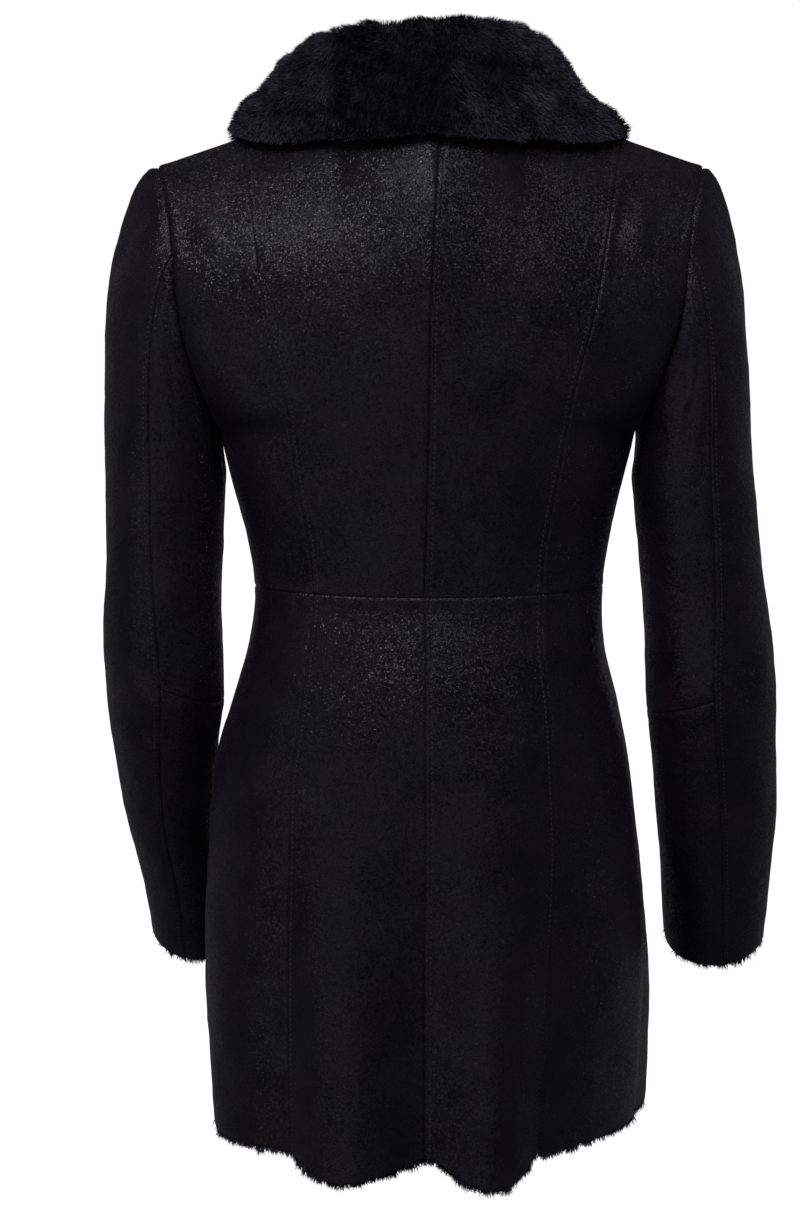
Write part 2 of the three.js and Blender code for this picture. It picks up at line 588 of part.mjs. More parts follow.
// A closed wall between two grids. turned: whether the grid's own normal points inward.
// bottom, first: say which faces of those two edges are split on the other diagonal, as the neighbour's are.
// crossed: says the same of a row of the wall's two surfaces.
function wallGeometry({ outer, inner }, turned, { bottom = never, first = never, crossed = never } = {}) {
  const rows = outer.length;
  const columns = outer[0].length;
  const points = [...outer.flat(), ...inner.flat()];
  const out = (r, c) => r * columns + c;
  const inn = (r, c) => rows * columns + r * columns + c;
  const faces = [];
  const quad = (a, b, c, d) => faces.push([a, b, c], [a, c, d]);
  for (let r = 0; r < rows - 1; r += 1) {
    for (let c = 0; c < columns - 1; c += 1) {
      if (crossed(r)) {
        quad(out(r, c + 1), out(r + 1, c + 1), out(r + 1, c), out(r, c));
        quad(inn(r, c + 1), inn(r, c), inn(r + 1, c), inn(r + 1, c + 1));
      } else {
        quad(out(r, c), out(r, c + 1), out(r + 1, c + 1), out(r + 1, c));
        quad(inn(r, c), inn(r + 1, c), inn(r + 1, c + 1), inn(r, c + 1));
      }
    }
  }
  for (let c = 0; c < columns - 1; c += 1) {
    if (bottom(c)) quad(inn(0, c), inn(0, c + 1), out(0, c + 1), out(0, c));
    else quad(out(0, c), inn(0, c), inn(0, c + 1), out(0, c + 1));
    quad(out(rows - 1, c), out(rows - 1, c + 1), inn(rows - 1, c + 1), inn(rows - 1, c));
  }
  for (let r = 0; r < rows - 1; r += 1) {
    if (first(r)) quad(out(r + 1, 0), inn(r + 1, 0), inn(r, 0), out(r, 0));
    else quad(out(r, 0), out(r + 1, 0), inn(r + 1, 0), inn(r, 0));
    quad(out(r, columns - 1), inn(r, columns - 1), inn(r + 1, columns - 1), out(r + 1, columns - 1));
  }
  const geometry = new THREE.BufferGeometry();
  geometry.setAttribute('position', new THREE.Float32BufferAttribute(points.flatMap((p) => p.toArray()), 3));
  geometry.setIndex(faces.flatMap(([a, b, c]) => (turned ? [a, c, b] : [a, b, c])));
  geometry.computeVertexNormals();
  return geometry;
}

const neckPanels = {};
for (const panel of ['back_centre', 'front_centre']) {
  for (const side of [1, -1]) neckPanels[`${panel} ${side}`] = bodiceGrids(panel, side);
}

// Neckline edge of the body wall: along 0 centre back, 1 neck point, 2 crossing of the fronts.
function necklineEdge(side, along) {
  const panel = along <= 1 ? 'back_centre' : 'front_centre';
  const { outer, inner } = neckPanels[`${panel} ${side}`];
  const top = outer.length - 1;
  const place = (along <= 1 ? along : 2 - along) * (COLUMNS[panel] / 2);
  const column = Math.min(Math.floor(place), COLUMNS[panel] / 2 - 1);
  const u = place - column;
  const at = (grid, row) => mixed(grid[row][column], grid[row][column + 1], u);
  return { outer: at(outer, top), inner: at(inner, top), below: at(outer, top - 1) };
}

// The middle of the neckline edge, and the direction in which the body's wall would run on.
function neckline(side, along) {
  const { outer, inner, below } = necklineEdge(side, along);
  const near = necklineEdge(side, along > 1 ? along - NEAR.along : along + NEAR.along);
  const edge = near.outer.sub(outer).normalize();
  const onward = outer.clone().sub(below);
  onward.addScaledVector(edge, -onward.dot(edge)).normalize();
  return { neck: mixed(outer, inner, 0.5), onward };
}

// A point in the middle of the collar's thickness.
function collarMiddle(side, along, share) {
  const get = (column) => read(COLLAR, 'along', column, along);
  const { neck, onward } = neckline(side, along);
  const height = get('foldZ') * (1 - COLLAR_TILT * side * smooth(get('foldX'), 0, COLLAR_TILT_OUT));
  const fold = vec(COLLAR_SHIFT + side * get('foldX'), get('foldY'), height);
  const q = get('edgeQ');
  const edge = bodyPoint(q <= 0 ? 'back' : 'front', side, get('edgeS'), 1 - Math.abs(q));
  const up = bodyNormal('back', side, get('edgeS'), 1 - Math.max(0, -q));
  const upFront = bodyNormal('front', side, get('edgeS'), 1 - Math.max(0, q));
  up.lerp(upFront, smooth(q, -SHOULDER_BLEND, SHOULDER_BLEND)).normalize();
  edge.addScaledVector(up, COLLAR_LIFT);
  const spring = neck.clone().addScaledVector(onward, COLLAR_SPRING);
  const away = edge.clone().sub(neck).setZ(0).normalize();
  const rise = fold.clone().sub(neck).normalize();
  const fall = edge.clone().sub(fold).normalize();
  const roll = Math.min(ROLL.radius, fold.distanceTo(neck) / 3);
  const before = fold.clone().addScaledVector(away, roll * ROLL.before.away);
  before.addScaledVector(rise, roll * ROLL.before.rise);
  const after = fold.clone().addScaledVector(away, roll * ROLL.after.away);
  after.addScaledVector(fall, roll * ROLL.after.fall);
  const rising = [neck, spring, mixed(spring, before, 0.5), before];
  const falling = [fold, after, mixed(after, edge, 0.5), edge];
  return new THREE.CatmullRomCurve3([...rising, ...falling], false, 'centripetal').getPoint(share);
}

// The collar has a station at each point of the neckline, so that its edge follows the body's.
function collarStations() {
  const stations = [0];
  const add = (from, columns) => {
    for (let i = 1; i <= columns; i += 1) stations.push(from + i / columns);
  };
  add(0, COLUMNS.back_centre / 2);
  add(1, COLUMNS.front_centre / 2);
  stations[stations.length - 1] = LAPEL_END;
  return stations;
}

function collarNormal(side, along, share) {
  const sideways = collarMiddle(side, Math.min(LAPEL_END, along + NEAR.along), share);
  sideways.sub(collarMiddle(side, Math.max(0, along - NEAR.along), share));
  const upward = collarMiddle(side, along, Math.min(1, share + NEAR.across));
  upward.sub(collarMiddle(side, along, Math.max(0, share - NEAR.across)));
  return sideways.cross(upward).multiplyScalar(-side).normalize();
}

// Rows of the collar run from the end of the right lapel round the neck to the end of the left one.
function collarGrids(stations) {
  const outer = [];
  const inner = [];
  for (let k = 1 - stations.length; k < stations.length; k += 1) {
    const side = k < 0 ? -1 : 1;
    const along = stations[Math.abs(k)];
    const edge = necklineEdge(side, along);
    const eased = along === LAPEL_END || (side > 0 && along > LAPEL_TURN);
    const lift = neckline(side, along).onward.setLength(2 * HALF_GAP + (eased ? LAPEL_EASE : 0));
    const outerRow = [edge.outer.add(lift)];
    const innerRow = [edge.inner.add(lift)];
    for (const { share, thick } of COLLAR_ACROSS) {
      const point = collarMiddle(side, along, share);
      const normal = collarNormal(side, along, share);
      outerRow.push(point.clone().addScaledVector(normal, thick / 2));
      innerRow.push(point.clone().addScaledVector(normal, -thick / 2));
    }
    outer.push(outerRow);
    inner.push(innerRow);
  }
  return { outer, inner };
}

// A round button with a bevelled edge and a dished face inside a rim.
function buttonGeometry() {
  const { radius, thick, bevel, rim, dish } = BUTTON;
  const top = radius - bevel / 2;
  const profile = [
    new THREE.Vector2(0, 0),
    new THREE.Vector2(radius - bevel, 0),
    new THREE.Vector2(radius, thick / 2),
    new THREE.Vector2(top, thick),
    new THREE.Vector2(top - rim, thick),
    new THREE.Vector2(top - rim - 1, thick - dish),
    new THREE.Vector2(0, thick - dish),
  ];
  return new THREE.LatheGeometry(profile, BUTTON_SIDES);
}

// How far the front stands proud of a button's seat within the button's radius.
function buttonSeat(point, normal, z) {
  let proud = 0;
  for (const share of BUTTON_SEAT.shares) {
    for (const rise of BUTTON_SEAT.rises) {
      const near = bodyPoint('front', -1, share, z + rise * BUTTON.radius);
      proud = Math.max(proud, near.sub(point).dot(normal));
    }
  }
  return proud;
}

function addMesh(group, name, geometry, look) {
  const mesh = new THREE.Mesh(geometry, new THREE.MeshStandardMaterial(look));
  mesh.name = name;
  group.add(mesh);
  return mesh;
}

const coat = new THREE.Group();
const SIDES = { left: 1, right: -1 };

function addBodyPanels(word, side) {
  for (const [panel, { face, from }] of Object.entries(PANELS)) {
    const turned = (face === 'back') === (side > 0);
    const edges = { first: !(face === 'front' && from === 'centre'), last: true };
    const bodice = bodiceGrids(panel, side);
    insetSeams(bodice, { ...edges, bottom: true, top: true, topFrom: shoulderColumn(panel) });
    addMesh(coat, `bodice_${panel}_${word}`, wallGeometry(bodice, turned), SUEDE);
    const skirt = skirtGrids(panel, side);
    insetSeams(skirt, { ...edges, top: true });
    addMesh(coat, `skirt_${panel}_${word}`, wallGeometry(skirt, turned), SUEDE);
  }
}

function addSleeve(word, side) {
  const hind = TIP_TO_HIND;
  const fore = hind + HIND_TO_UNDERARM + UNDERARM_TO_FORE;
  const full = sleeveRing.length;
  const upperSteps = [...CAP_STEPS, ...ELBOW_STEPS];
  const topSteps = [...upperSteps, ...CUFF_STEPS.slice(1)];
  const pieces = [
    { name: 'top_sleeve', first: fore, last: full + hind, steps: topSteps, bottom: true, top: false },
    { name: 'under_sleeve_upper', first: hind, last: fore, steps: upperSteps, bottom: true, top: true },
    { name: 'under_sleeve_lower', first: hind, last: fore, steps: CUFF_STEPS, bottom: true, top: false },
  ];
  for (const { name, first, last, steps, bottom, top } of pieces) {
    const grids = sleeveGrids(side, first, last, steps);
    insetSeams(grids, { first: true, last: true, bottom, top });
    const atBack = (column) => steps[0] === 0 && sleeveRing[(first + column) % full].face === 'back';
    addMesh(coat, `${name}_${word}`, wallGeometry(grids, side > 0, { bottom: atBack }), SUEDE);
  }
}

function addCollar() {
  const perFront = COLUMNS.front_centre / 2;
  const perBack = COLUMNS.back_centre / 2;
  const middle = perFront + perBack;
  const first = (row) => (row >= perFront && row < middle) || row >= middle + perBack;
  const crossed = (row) => row < middle;
  addMesh(coat, 'collar', wallGeometry(collarGrids(collarStations()), false, { first, crossed }), FUR);
}

function addButtons() {
  for (let i = 0; i < BUTTONS.count; i += 1) {
    const z = BUTTONS.top - BUTTONS.pitch * i;
    const point = bodyPoint('front', -1, 0, z);
    const normal = bodyNormal('front', -1, 0, z);
    const button = addMesh(coat, `button_${i + 1}`, buttonGeometry(), HORN);
    button.position.copy(point).addScaledVector(normal, BUTTONS.lift + buttonSeat(point, normal, z));
    button.quaternion.setFromUnitVectors(vec(0, 1, 0), normal);
  }
}

for (const [word, side] of Object.entries(SIDES)) {
  addBodyPanels(word, side);
  addSleeve(word, side);
}
addCollar();
addButtons();

export default coat;
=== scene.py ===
import math

import bpy
import numpy as np
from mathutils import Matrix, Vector


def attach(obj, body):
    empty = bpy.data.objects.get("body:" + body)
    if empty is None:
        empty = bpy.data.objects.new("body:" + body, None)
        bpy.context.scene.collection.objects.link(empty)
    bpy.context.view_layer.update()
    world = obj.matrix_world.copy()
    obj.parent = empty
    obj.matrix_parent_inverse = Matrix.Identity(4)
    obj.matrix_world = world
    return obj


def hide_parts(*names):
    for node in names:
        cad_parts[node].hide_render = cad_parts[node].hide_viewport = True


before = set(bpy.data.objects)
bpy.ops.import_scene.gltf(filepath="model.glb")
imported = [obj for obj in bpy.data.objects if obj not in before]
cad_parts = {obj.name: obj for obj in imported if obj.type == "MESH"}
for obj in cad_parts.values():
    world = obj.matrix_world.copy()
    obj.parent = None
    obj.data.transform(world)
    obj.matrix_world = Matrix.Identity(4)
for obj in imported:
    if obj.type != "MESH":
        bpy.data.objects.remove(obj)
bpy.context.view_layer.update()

# Sizes are in millimetres, +Z up, the front faces -Y and the wearer's left is +X. Meshes are in metres.
MM = 0.001
SEED = 11

# Driving dimensions, the solids' own but for the hem, the skirt's folds and the lower sleeves, which are
# a few millimetres off them to follow the photograph's outline
WALL = 8
CHEST_Z = -232
WAIST_Z = -354
HEM_Z = -773
WAIST_DIP = 4
WAIST_DIP_END_Z = -414
NECK_SHARE = 0.35
SQUARE = 0.85
SHOULDER_TIP = {"out": 209, "y": 4, "z": -31}
NECK_POINT = {"out": 72, "y": 8, "z": 15}
CHEST_FADE = 2.2
TOP_LINE_FADE = {"back": 6, "front": 2}
OVERLAP = 0.2
OVERLAP_EASE = (0.04, 0.27)
LAYER_GAP = 1.5
NEAR = {"angle": 0.02, "up": 0.015, "z": 2, "arm": 0.02}
SIDE = 0.985


def table(names, *rows):
    """A short table with named columns, as one array for each column."""
    return dict(zip(names.split(), np.array(rows, float).T))


# Sections of the body from hem to chest
SECTIONS = table(
    "z centre left right back front",
    (-790, 0, 163, 165, 128, 118),
    (-650, 0, 171, 172, 124, 116),
    (-560, 0, 169, 167, 121, 113),
    (-490, 0, 163, 159, 117, 109),
    (-444, 0, 150, 150, 110, 104),
    (-397, -1, 138, 138, 97, 99),
    (-354, -2, 134, 136, 86, 96),
    (-320, -2, 139, 140, 88, 98),
    (-272, -2, 152, 151, 96, 110),
    (-232, -2, 161, 161, 102, 117),
)

# Lengthwise seams from hem to chest: the centre-back seam's shift and the princess seams' shares
SEAMS = table(
    "z seam backL backR frontP",
    (-790, 1, 0.63, 0.5, 0.5),
    (-650, 1, 0.61, 0.53, 0.5),
    (-560, 0, 0.61, 0.58, 0.5),
    (-490, 0, 0.62, 0.6, 0.5),
    (-444, 0, 0.63, 0.62, 0.5),
    (-397, 1, 0.65, 0.63, 0.5),
    (-354, 3, 0.65, 0.63, 0.5),
    (-320, 2, 0.65, 0.63, 0.5),
    (-272, 1, 0.65, 0.64, 0.5),
    (-232, 0, 0.65, 0.64, 0.51),
)

# The upper body, by the share of the way up from the chest to the shoulder seam
YOKE = table(
    "up centre seam backY frontZ frontY backP frontP",
    (0, -2, 0, 102, -232, -117, 0.645, 0.51),
    (0.3, -2, -1, 107, -222, -119, 0.65, 0.54),
    (0.6, -3, -3, 104, -212, -120, 0.67, 0.6),
    (0.8, -4, -4, 91, -205, -121, 0.69, 0.66),
    (1, -4, -5, 62, -198, -121, 0.7, 0.7),
)

# The armhole, from the underarm up to the shoulder tip
ARMHOLE = {
    "back": table(
        "up out y z",
        (0, 161, 0, -232),
        (0.12, 163, 24, -226),
        (0.26, 171, 43, -205),
        (0.42, 182, 55, -174),
        (0.56, 190, 58, -138),
        (0.7, 194, 53, -102),
        (0.86, 200, 33, -63),
        (1, 209, 4, -31),
    ),
    "front": table(
        "up out y z",
        (0, 161, 0, -232),
        (0.12, 162, -24, -225),
        (0.26, 167, -42, -203),
        (0.42, 172, -52, -171),
        (0.56, 177, -54, -136),
        (0.7, 184, -47, -101),
        (0.86, 196, -28, -63),
        (1, 209, 4, -31),
    ),
}

# The front neckline, from the crossing of the fronts up to the neck point
FRONT_NECK = table(
    "share out y z",
    (0, 0, -121, -198),
    (0.25, 22, -113, -140),
    (0.5, 45, -88, -73),
    (0.75, 63, -44, -12),
    (1, 72, 8, 15),
)

# Sleeve sections, from the upper arm (1) past the elbow seam (2) to the cuff (3)
SLEEVES = {
    1: table(
        "at z x y wide deep tilt lean seam",
        (1, -272, 201.5, 0, 46.5, 57, 0, 0, 81),
        (1.5, -345, 203, 1, 45, 54, 0.15, 0.03, 84),
        (2, -426, 204, -3, 46.5, 53, 0.38, 0.08, 92),
        (2.3, -476, 206, -24, 42.5, 51, 0.3, 0.18, 91),
        (2.6, -540, 204, -60, 38.5, 48, 0.2, 0.3, 89),
        (2.8, -593, 194.5, -90, 38.5, 46, 0.15, 0.35, 85),
        (3, -649, 188, -112, 37, 44, 0.1, 0.38, 80),
    ),
    -1: table(
        "at z x y wide deep tilt lean seam",
        (1, -272, 208, 0, 47, 57, 0, 0, 80),
        (1.5, -350, 215.5, 1, 47, 54, 0.15, 0.03, 84),
        (2, -434, 223.5, 1, 49.5, 53, 0.36, 0.08, 94),
        (2.3, -484, 228, -14, 48.5, 52, 0.3, 0.18, 93),
        (2.6, -550, 234, -38, 47, 49, 0.2, 0.3, 92),
        (3, -644, 237, -72, 40, 45, 0.1, 0.38, 88),
    ),
}
FORE_SEAM_ANGLE = 235
HIND_SEAM_UP = 0.7
FORE_SEAM_UP = 0.34
CAP = {"out": 0.35, "turned_back": 0.18, "down": 0.6, "turned_up": 0.2, "arrive": 0.75}
CAP_FULLNESS = {1: 0.3, -1: 0.16}
CAP_SEAM_ANGLE = 81
SLEEVE_HEAD = {"rise": 3, "crest": 0.05, "end": 0.3}

# How far the middle of each skirt panel stands out at the hem, and how much lower the hem is there
SKIRT_FOLDS = {
    1: {"back_centre": (20, 15), "back_side": (5, 0), "front_side": (4, 3), "front_centre": (12, 5)},
    -1: {"back_centre": (23, 18), "back_side": (-9, -2), "front_side": (30, 3), "front_centre": (13, 5)},
}
FOLD_TOP_Z = -400
FOLD_SHARPNESS = 1.2
PLACKET_EASE = 0.05

# The collar, from the centre back (0) over the neck point (1) to the crossing of the lapels (2)
COLLAR = table(
    "along foldX foldY foldZ edgeS edgeQ",
    (0, 0, 75, 64, 0, -0.075),
    (0.5, 56, 57, 64, 0.33, -0.09),
    (0.8, 79, 29, 60, 0.58, -0.06),
    (1, 86, 0, 54, 0.71, -0.01),
    (1.25, 79, -50, 28, 0.68, 0.11),
    (1.5, 57, -103, -42, 0.56, 0.33),
    (1.75, 32, -136, -118, 0.43, 0.6),
    (2, 8, -146, -190, 0.24, 0.88),
)
LAPEL_END = 1.93
COLLAR_SHIFT = -1
COLLAR_TILT = 0.03
COLLAR_TILT_OUT = 60
COLLAR_THICK = table(
    "share thick",
    (0, 8), (0.14, 8), (0.28, 11), (0.43, 13), (0.65, 14), (0.86, 14), (0.96, 13), (1, 8),
)
COLLAR_LIFT = 7.5
COLLAR_SPRING = 9
SHOULDER_BLEND = 0.1
ROLL = {"radius": 9, "before": (-0.8, -0.9), "after": (0.5, 1)}
NECK_STEP = {"back": 0.075, "front": 0.094}

# Hide, sewing and pile
HIDE = 1.8
SEAM_LEAD = np.array([0, 0.6, 1.2, 2, 3.2, 4.1, 5.1, 6.5, 9])  # distances from an edge
PILE_LEAD = np.array([0, 4])
STITCH_COLUMN = 5
SEAM = {"half": 0.9, "band": 0.3, "band_from": 4, "band_to": 9, "groove": 0.35, "groove_half": 0.8}
EDGE = {"round": 0.7, "reach": 0.8}
CROSS_SEAM = 0.9  # depth of the waist, shoulder and sleeve seams
ELBOW_SEAM = 0.8
ARMHOLE_SEAM = 1
SKIRT_SEAM_SHARE = 0.55  # how deep the skirt's seams are beside the bodice's
STITCH = {"pitch": 3.8, "long": 2.5, "wide": 1.2, "high": 0.75}
# Painted sheen on the collar's fur: its base colour is lighter, by up to lift, from the from to the to
# distance in millimetres away from a middle line at x = middle
PAINTED_SHEEN = {"middle": 25, "from": 38, "to": 64, "lift": 0.24}
GRID_STEP = 6
PILE_STEP = 9
CELLS = 160  # steps by which a surface is measured

# Soft unevenness as layers of waves: height, length, seed
HIDE_RELIEF = ((0.35, 60, 3), (0.12, 17, 4))
RELIEF_EDGE = 8
PILE_LUMPS = ((0.8, 16, 5), (0.5, 26, 6))
COLLAR_LUMPS = ((1.1, 46, 31), (0.6, 20, 32))

WORDS = {1: "left", -1: "right"}


def mix(a, b, share):
    return a + (b - a) * share


def smooth(value, low, high):
    share = np.clip((value - low) / (high - low), 0, 1)
    return share * share * (3 - 2 * share)


def vec(x, y, z):
    return np.stack(np.broadcast_arrays(x, y, z), -1).astype(float)


def unit(v):
    return v / np.maximum(np.linalg.norm(v, axis=-1, keepdims=True), 1e-9)


def dot(a, b):
    return (a * b).sum(-1, keepdims=True)


def read(rows, key, column, at):
    """A smooth curve through one column of a table, read at values of its key column."""
    keys, values = rows[key], rows[column]
    inside = np.clip(at, keys[0], keys[-1])
    low = np.clip(np.searchsorted(keys, inside) - 1, 0, len(keys) - 2)
    step = np.diff(values) / np.diff(keys)
    slope = np.concatenate([step[:1], (step[1:] + step[:-1]) / 2, step[-1:]])
    span = keys[low + 1] - keys[low]
    u = (inside - keys[low]) / span
    rise = values[low + 1] - values[low]
    start, end = slope[low] * span, slope[low + 1] * span
    return values[low] + u * (start + u * (3 * rise - 2 * start - end + u * (start + end - 2 * rise)))


def share_of(angle):
    return np.sign(angle) * np.sin(np.abs(angle)) ** SQUARE


def angle_of(share):
    return np.sign(share) * np.arcsin(np.minimum(1, np.abs(share)) ** (1 / SQUARE))


# The body's outer surface
def ring_point(face, side, share, z):
    half = np.where(side > 0, read(SECTIONS, "z", "left", z), read(SECTIONS, "z", "right", z))
    depth = read(SECTIONS, "z", face, z) * (1 if face == "back" else -1)
    x = read(SECTIONS, "z", "centre", z) + side * half * share
    return vec(x, depth * np.maximum(0, np.cos(angle_of(share))) ** SQUARE, z)


def top_point(face, side, share):
    """Neckline and shoulder seam, from the centre (0) to the shoulder tip (1)."""
    centre = YOKE["centre"][-1]
    u = (share - NECK_SHARE) / (1 - NECK_SHARE)
    shoulder = [mix(NECK_POINT[k], SHOULDER_TIP[k], u) for k in ("out", "y", "z")]
    shoulder = vec(centre + side * shoulder[0], shoulder[1], shoulder[2])
    u = np.clip(share / NECK_SHARE, 0, 1)
    if face == "front":
        out, y, z = (read(FRONT_NECK, "share", k, u) for k in ("out", "y", "z"))
    else:
        turn = u * np.pi / 2
        out = NECK_POINT["out"] * np.sin(turn)
        y = NECK_POINT["y"] + (YOKE["backY"][-1] - NECK_POINT["y"]) * np.cos(turn)
        z = NECK_POINT["z"] * (1 - np.cos(turn))
    return np.where((share >= NECK_SHARE)[..., None], shoulder, vec(centre + side * out, y, z))


def centre_point(face, up):
    centre = read(YOKE, "up", "centre", up)
    if face == "back":
        return vec(centre, read(YOKE, "up", "backY", up), CHEST_Z * (1 - up))
    return vec(centre, read(YOKE, "up", "frontY", up), read(YOKE, "up", "frontZ", up))


def armhole_point(face, side, up):
    out, y, z = (read(ARMHOLE[face], "up", k, up) for k in ("out", "y", "z"))
    return vec(read(YOKE, "up", "centre", up) + side * out, y, z)


def bow(curve, share):
    """How far a curve departs from the straight line between its ends."""
    ends = curve(share * 0), curve(share * 0 + 1)
    return curve(share) - mix(*ends, share[..., None])


def yoke_point(face, side, share, up):
    point = mix(centre_point(face, up), armhole_point(face, side, up), share[..., None])
    chest = bow(lambda s: ring_point(face, side, s, s * 0 + CHEST_Z), share)
    top = bow(lambda s: top_point(face, side, s), share)
    low, high = (1 - up) ** CHEST_FADE, up ** TOP_LINE_FADE[face]
    return point + chest * low[..., None] + top * high[..., None]


def body_point(face, side, share, level):
    """level: a height z at or below the chest, or the share of the way up above it."""
    share, level = np.broadcast_arrays(np.asarray(share, float), np.asarray(level, float))
    sides = np.where(share < 0, -side, side)
    share = np.abs(share)
    low = ring_point(face, sides, share, np.minimum(level, CHEST_Z))
    return np.where((level < 0)[..., None], low, yoke_point(face, sides, share, np.maximum(level, 0)))


def body_normal(face, side, share, level):
    share, level = np.broadcast_arrays(np.asarray(share, float), np.asarray(level, float))
    above = level >= 0
    step = np.where(above, NEAR["up"], NEAR["z"])
    high = np.minimum(np.where(above, np.maximum(level, 2 * step), level) + step, np.where(above, 1, CHEST_Z))
    turn = np.minimum(angle_of(share) + NEAR["angle"], np.pi / 2)

    def at(angle, height):
        return body_point(face, side, share_of(angle), height)

    across = at(turn, high - step) - at(turn - 2 * NEAR["angle"], high - step)
    upward = at(angle_of(share), high) - at(angle_of(share), high - 2 * step)
    normal = unit(np.cross(across, upward)) * (-1 if face == "back" else 1) * side
    return np.where(((share > 0.999) & ~above)[..., None], vec(side, 0, 0), normal)


def underlap(face, side, share, level):
    """How far the under front is moved in, so that the upper front lies on it."""
    if face == "back" or side < 0:
        return share * 0
    covered = OVERLAP * (1 - np.maximum(0, level))
    return (WALL + LAYER_GAP) * (1 - smooth(share, covered + OVERLAP_EASE[0], covered + OVERLAP_EASE[1]))


def seam_share(name, face, side, level):
    low = level < 0
    z, up = np.minimum(level, CHEST_Z), np.maximum(level, 0)

    def both(below, above):
        return np.where(low, read(SEAMS, "z", below, z), read(YOKE, "up", above, up))

    if name == "princess":
        if face == "front":
            return both("frontP", "frontP")
        return both("backL" if side > 0 else "backR", "backP")
    if name == "side":
        return level * 0 + 1
    if face == "front":
        return np.where(low, -OVERLAP, -OVERLAP * (1 - up) ** 2)
    half = np.where(low, read(SECTIONS, "z", "left", z), SHOULDER_TIP["out"])
    return side * both("seam", "seam") / half


PANELS = {
    "back_centre": ("back", "centre", "princess"),
    "back_side": ("back", "princess", "side"),
    "front_side": ("front", "princess", "side"),
    "front_centre": ("front", "centre", "princess"),
}


def panel_share(panel, side, u, level):
    """Share of the half width at place u of a panel. The middle of a centre panel ends at the neck point."""
    face, start, end = PANELS[panel]
    u, level = np.broadcast_arrays(np.asarray(u, float), np.asarray(level, float))
    first = angle_of(seam_share(start, face, side, level))
    last = angle_of(seam_share(end, face, side, level))
    angle = mix(first, last, u)
    if start == "centre":
        shift = angle_of(np.float64(NECK_SHARE)) - (first + last) / 2
        angle = angle + 4 * u * (1 - u) * shift * np.maximum(0, level) ** 3
    return share_of(angle)


def shoulder_normal(side, share):
    return unit(body_normal("back", side, share, 1.0) + body_normal("front", side, share, 1.0))


# The sleeve's outer surface. turn counts the seams round the arm: 0 outer side, 1 hind seam, 2 underarm,
# 3 fore seam, 4 outer side. at runs from the armhole (0) to the cuff (3).
def armhole_up(turn):
    part = np.mod(turn, 4)
    ups = [1, HIND_SEAM_UP, 0, FORE_SEAM_UP, 1]
    return np.interp(part, range(5), ups)


def turn_angle(turn, hind):
    part = np.mod(turn, 4)
    degrees = np.where(part < 1, hind * part, mix(hind, 180, part - 1))
    degrees = np.where(part < 2, degrees, mix(180, FORE_SEAM_ANGLE, part - 2))
    return np.radians(np.where(part < 3, degrees, mix(FORE_SEAM_ANGLE, 360, part - 3)))


def arm_point(side, turn, at):
    columns = ("z", "x", "y", "wide", "deep", "tilt", "lean", "seam")
    get = {k: read(SLEEVES[side], "at", k, at) for k in columns}
    angle = turn_angle(turn, get["seam"])
    out = get["wide"] * np.cos(angle)
    y = get["y"] + get["deep"] * np.sin(angle)
    z = get["z"] + get["tilt"] * out - get["lean"] * (y - get["y"])
    return vec(side * (get["x"] + out), y, z)


def sleeve_point(side, turn, at):
    turn, at = np.broadcast_arrays(np.asarray(turn, float), np.asarray(at, float))
    up = armhole_up(turn)
    back = (np.mod(turn, 4) <= 2)[..., None]
    start = np.where(back, armhole_point("back", side, up), armhole_point("front", side, up))
    end = arm_point(side, turn, at * 0 + 1)
    reach = np.linalg.norm(end - start, axis=-1, keepdims=True)
    angle = turn_angle(turn, CAP_SEAM_ANGLE)
    out = CAP["out"] + CAP_FULLNESS[side] * np.cos(angle)
    turned_up = CAP["turned_up"] * np.cos(angle) - CAP["down"]
    leave = vec(side * out, CAP["turned_back"] * np.sin(angle), turned_up)
    arrive = unit(arm_point(side, turn, at * 0 + 1.1) - end) * CAP["arrive"] * reach
    t = np.clip(at, 0, 1)[..., None]
    point = start * (1 + t * t * (2 * t - 3)) + leave * reach * t * (1 - t) ** 2
    point = point + end * t * t * (3 - 2 * t) + arrive * t * t * (t - 1)
    crest, foot = SLEEVE_HEAD["crest"], SLEEVE_HEAD["end"]
    roll = SLEEVE_HEAD["rise"] * np.maximum(0, np.cos(angle))
    point[..., 2] += roll * smooth(at, 0, crest) * (1 - smooth(at, crest, foot))
    return np.where((at >= 1)[..., None], arm_point(side, turn, np.maximum(at, 1)), point)


def sleeve_normal(side, turn, at):
    around = sleeve_point(side, turn + NEAR["arm"], at) - sleeve_point(side, turn - NEAR["arm"], at)
    middle = np.clip(at, NEAR["arm"], 3 - NEAR["arm"])
    down = sleeve_point(side, turn, middle + NEAR["arm"]) - sleeve_point(side, turn, middle - NEAR["arm"])
    return unit(np.cross(around, down)) * -side


def armhole_normal(face, side, up):
    """Between the body's normal and the sleeve's, so that both edges of the armhole seam sink together."""
    if face == "back":
        turn = np.interp(-up, [-1, -HIND_SEAM_UP, 0], [0, 1, 2])
    else:
        turn = np.interp(up, [0, FORE_SEAM_UP, 1], [2, 3, 4])
    return unit(body_normal(face, side, SIDE, up) + sleeve_normal(side, turn, up * 0))


# Even noise, from waves that run in set directions
def waves(points, length, seed, count=9):
    chance = np.random.default_rng(seed)
    total = np.zeros(points.shape[:-1])
    for _ in range(count):
        direction = unit(chance.normal(size=3))
        wavelength = length * chance.uniform(0.7, 1.5)
        total += np.sin(points @ direction * 2 * np.pi / wavelength + chance.uniform(0, 2 * np.pi))
    return total * math.sqrt(2 / count)


def layered(points, layers):
    return sum(height * waves(points, length, seed) for height, length, seed in layers)


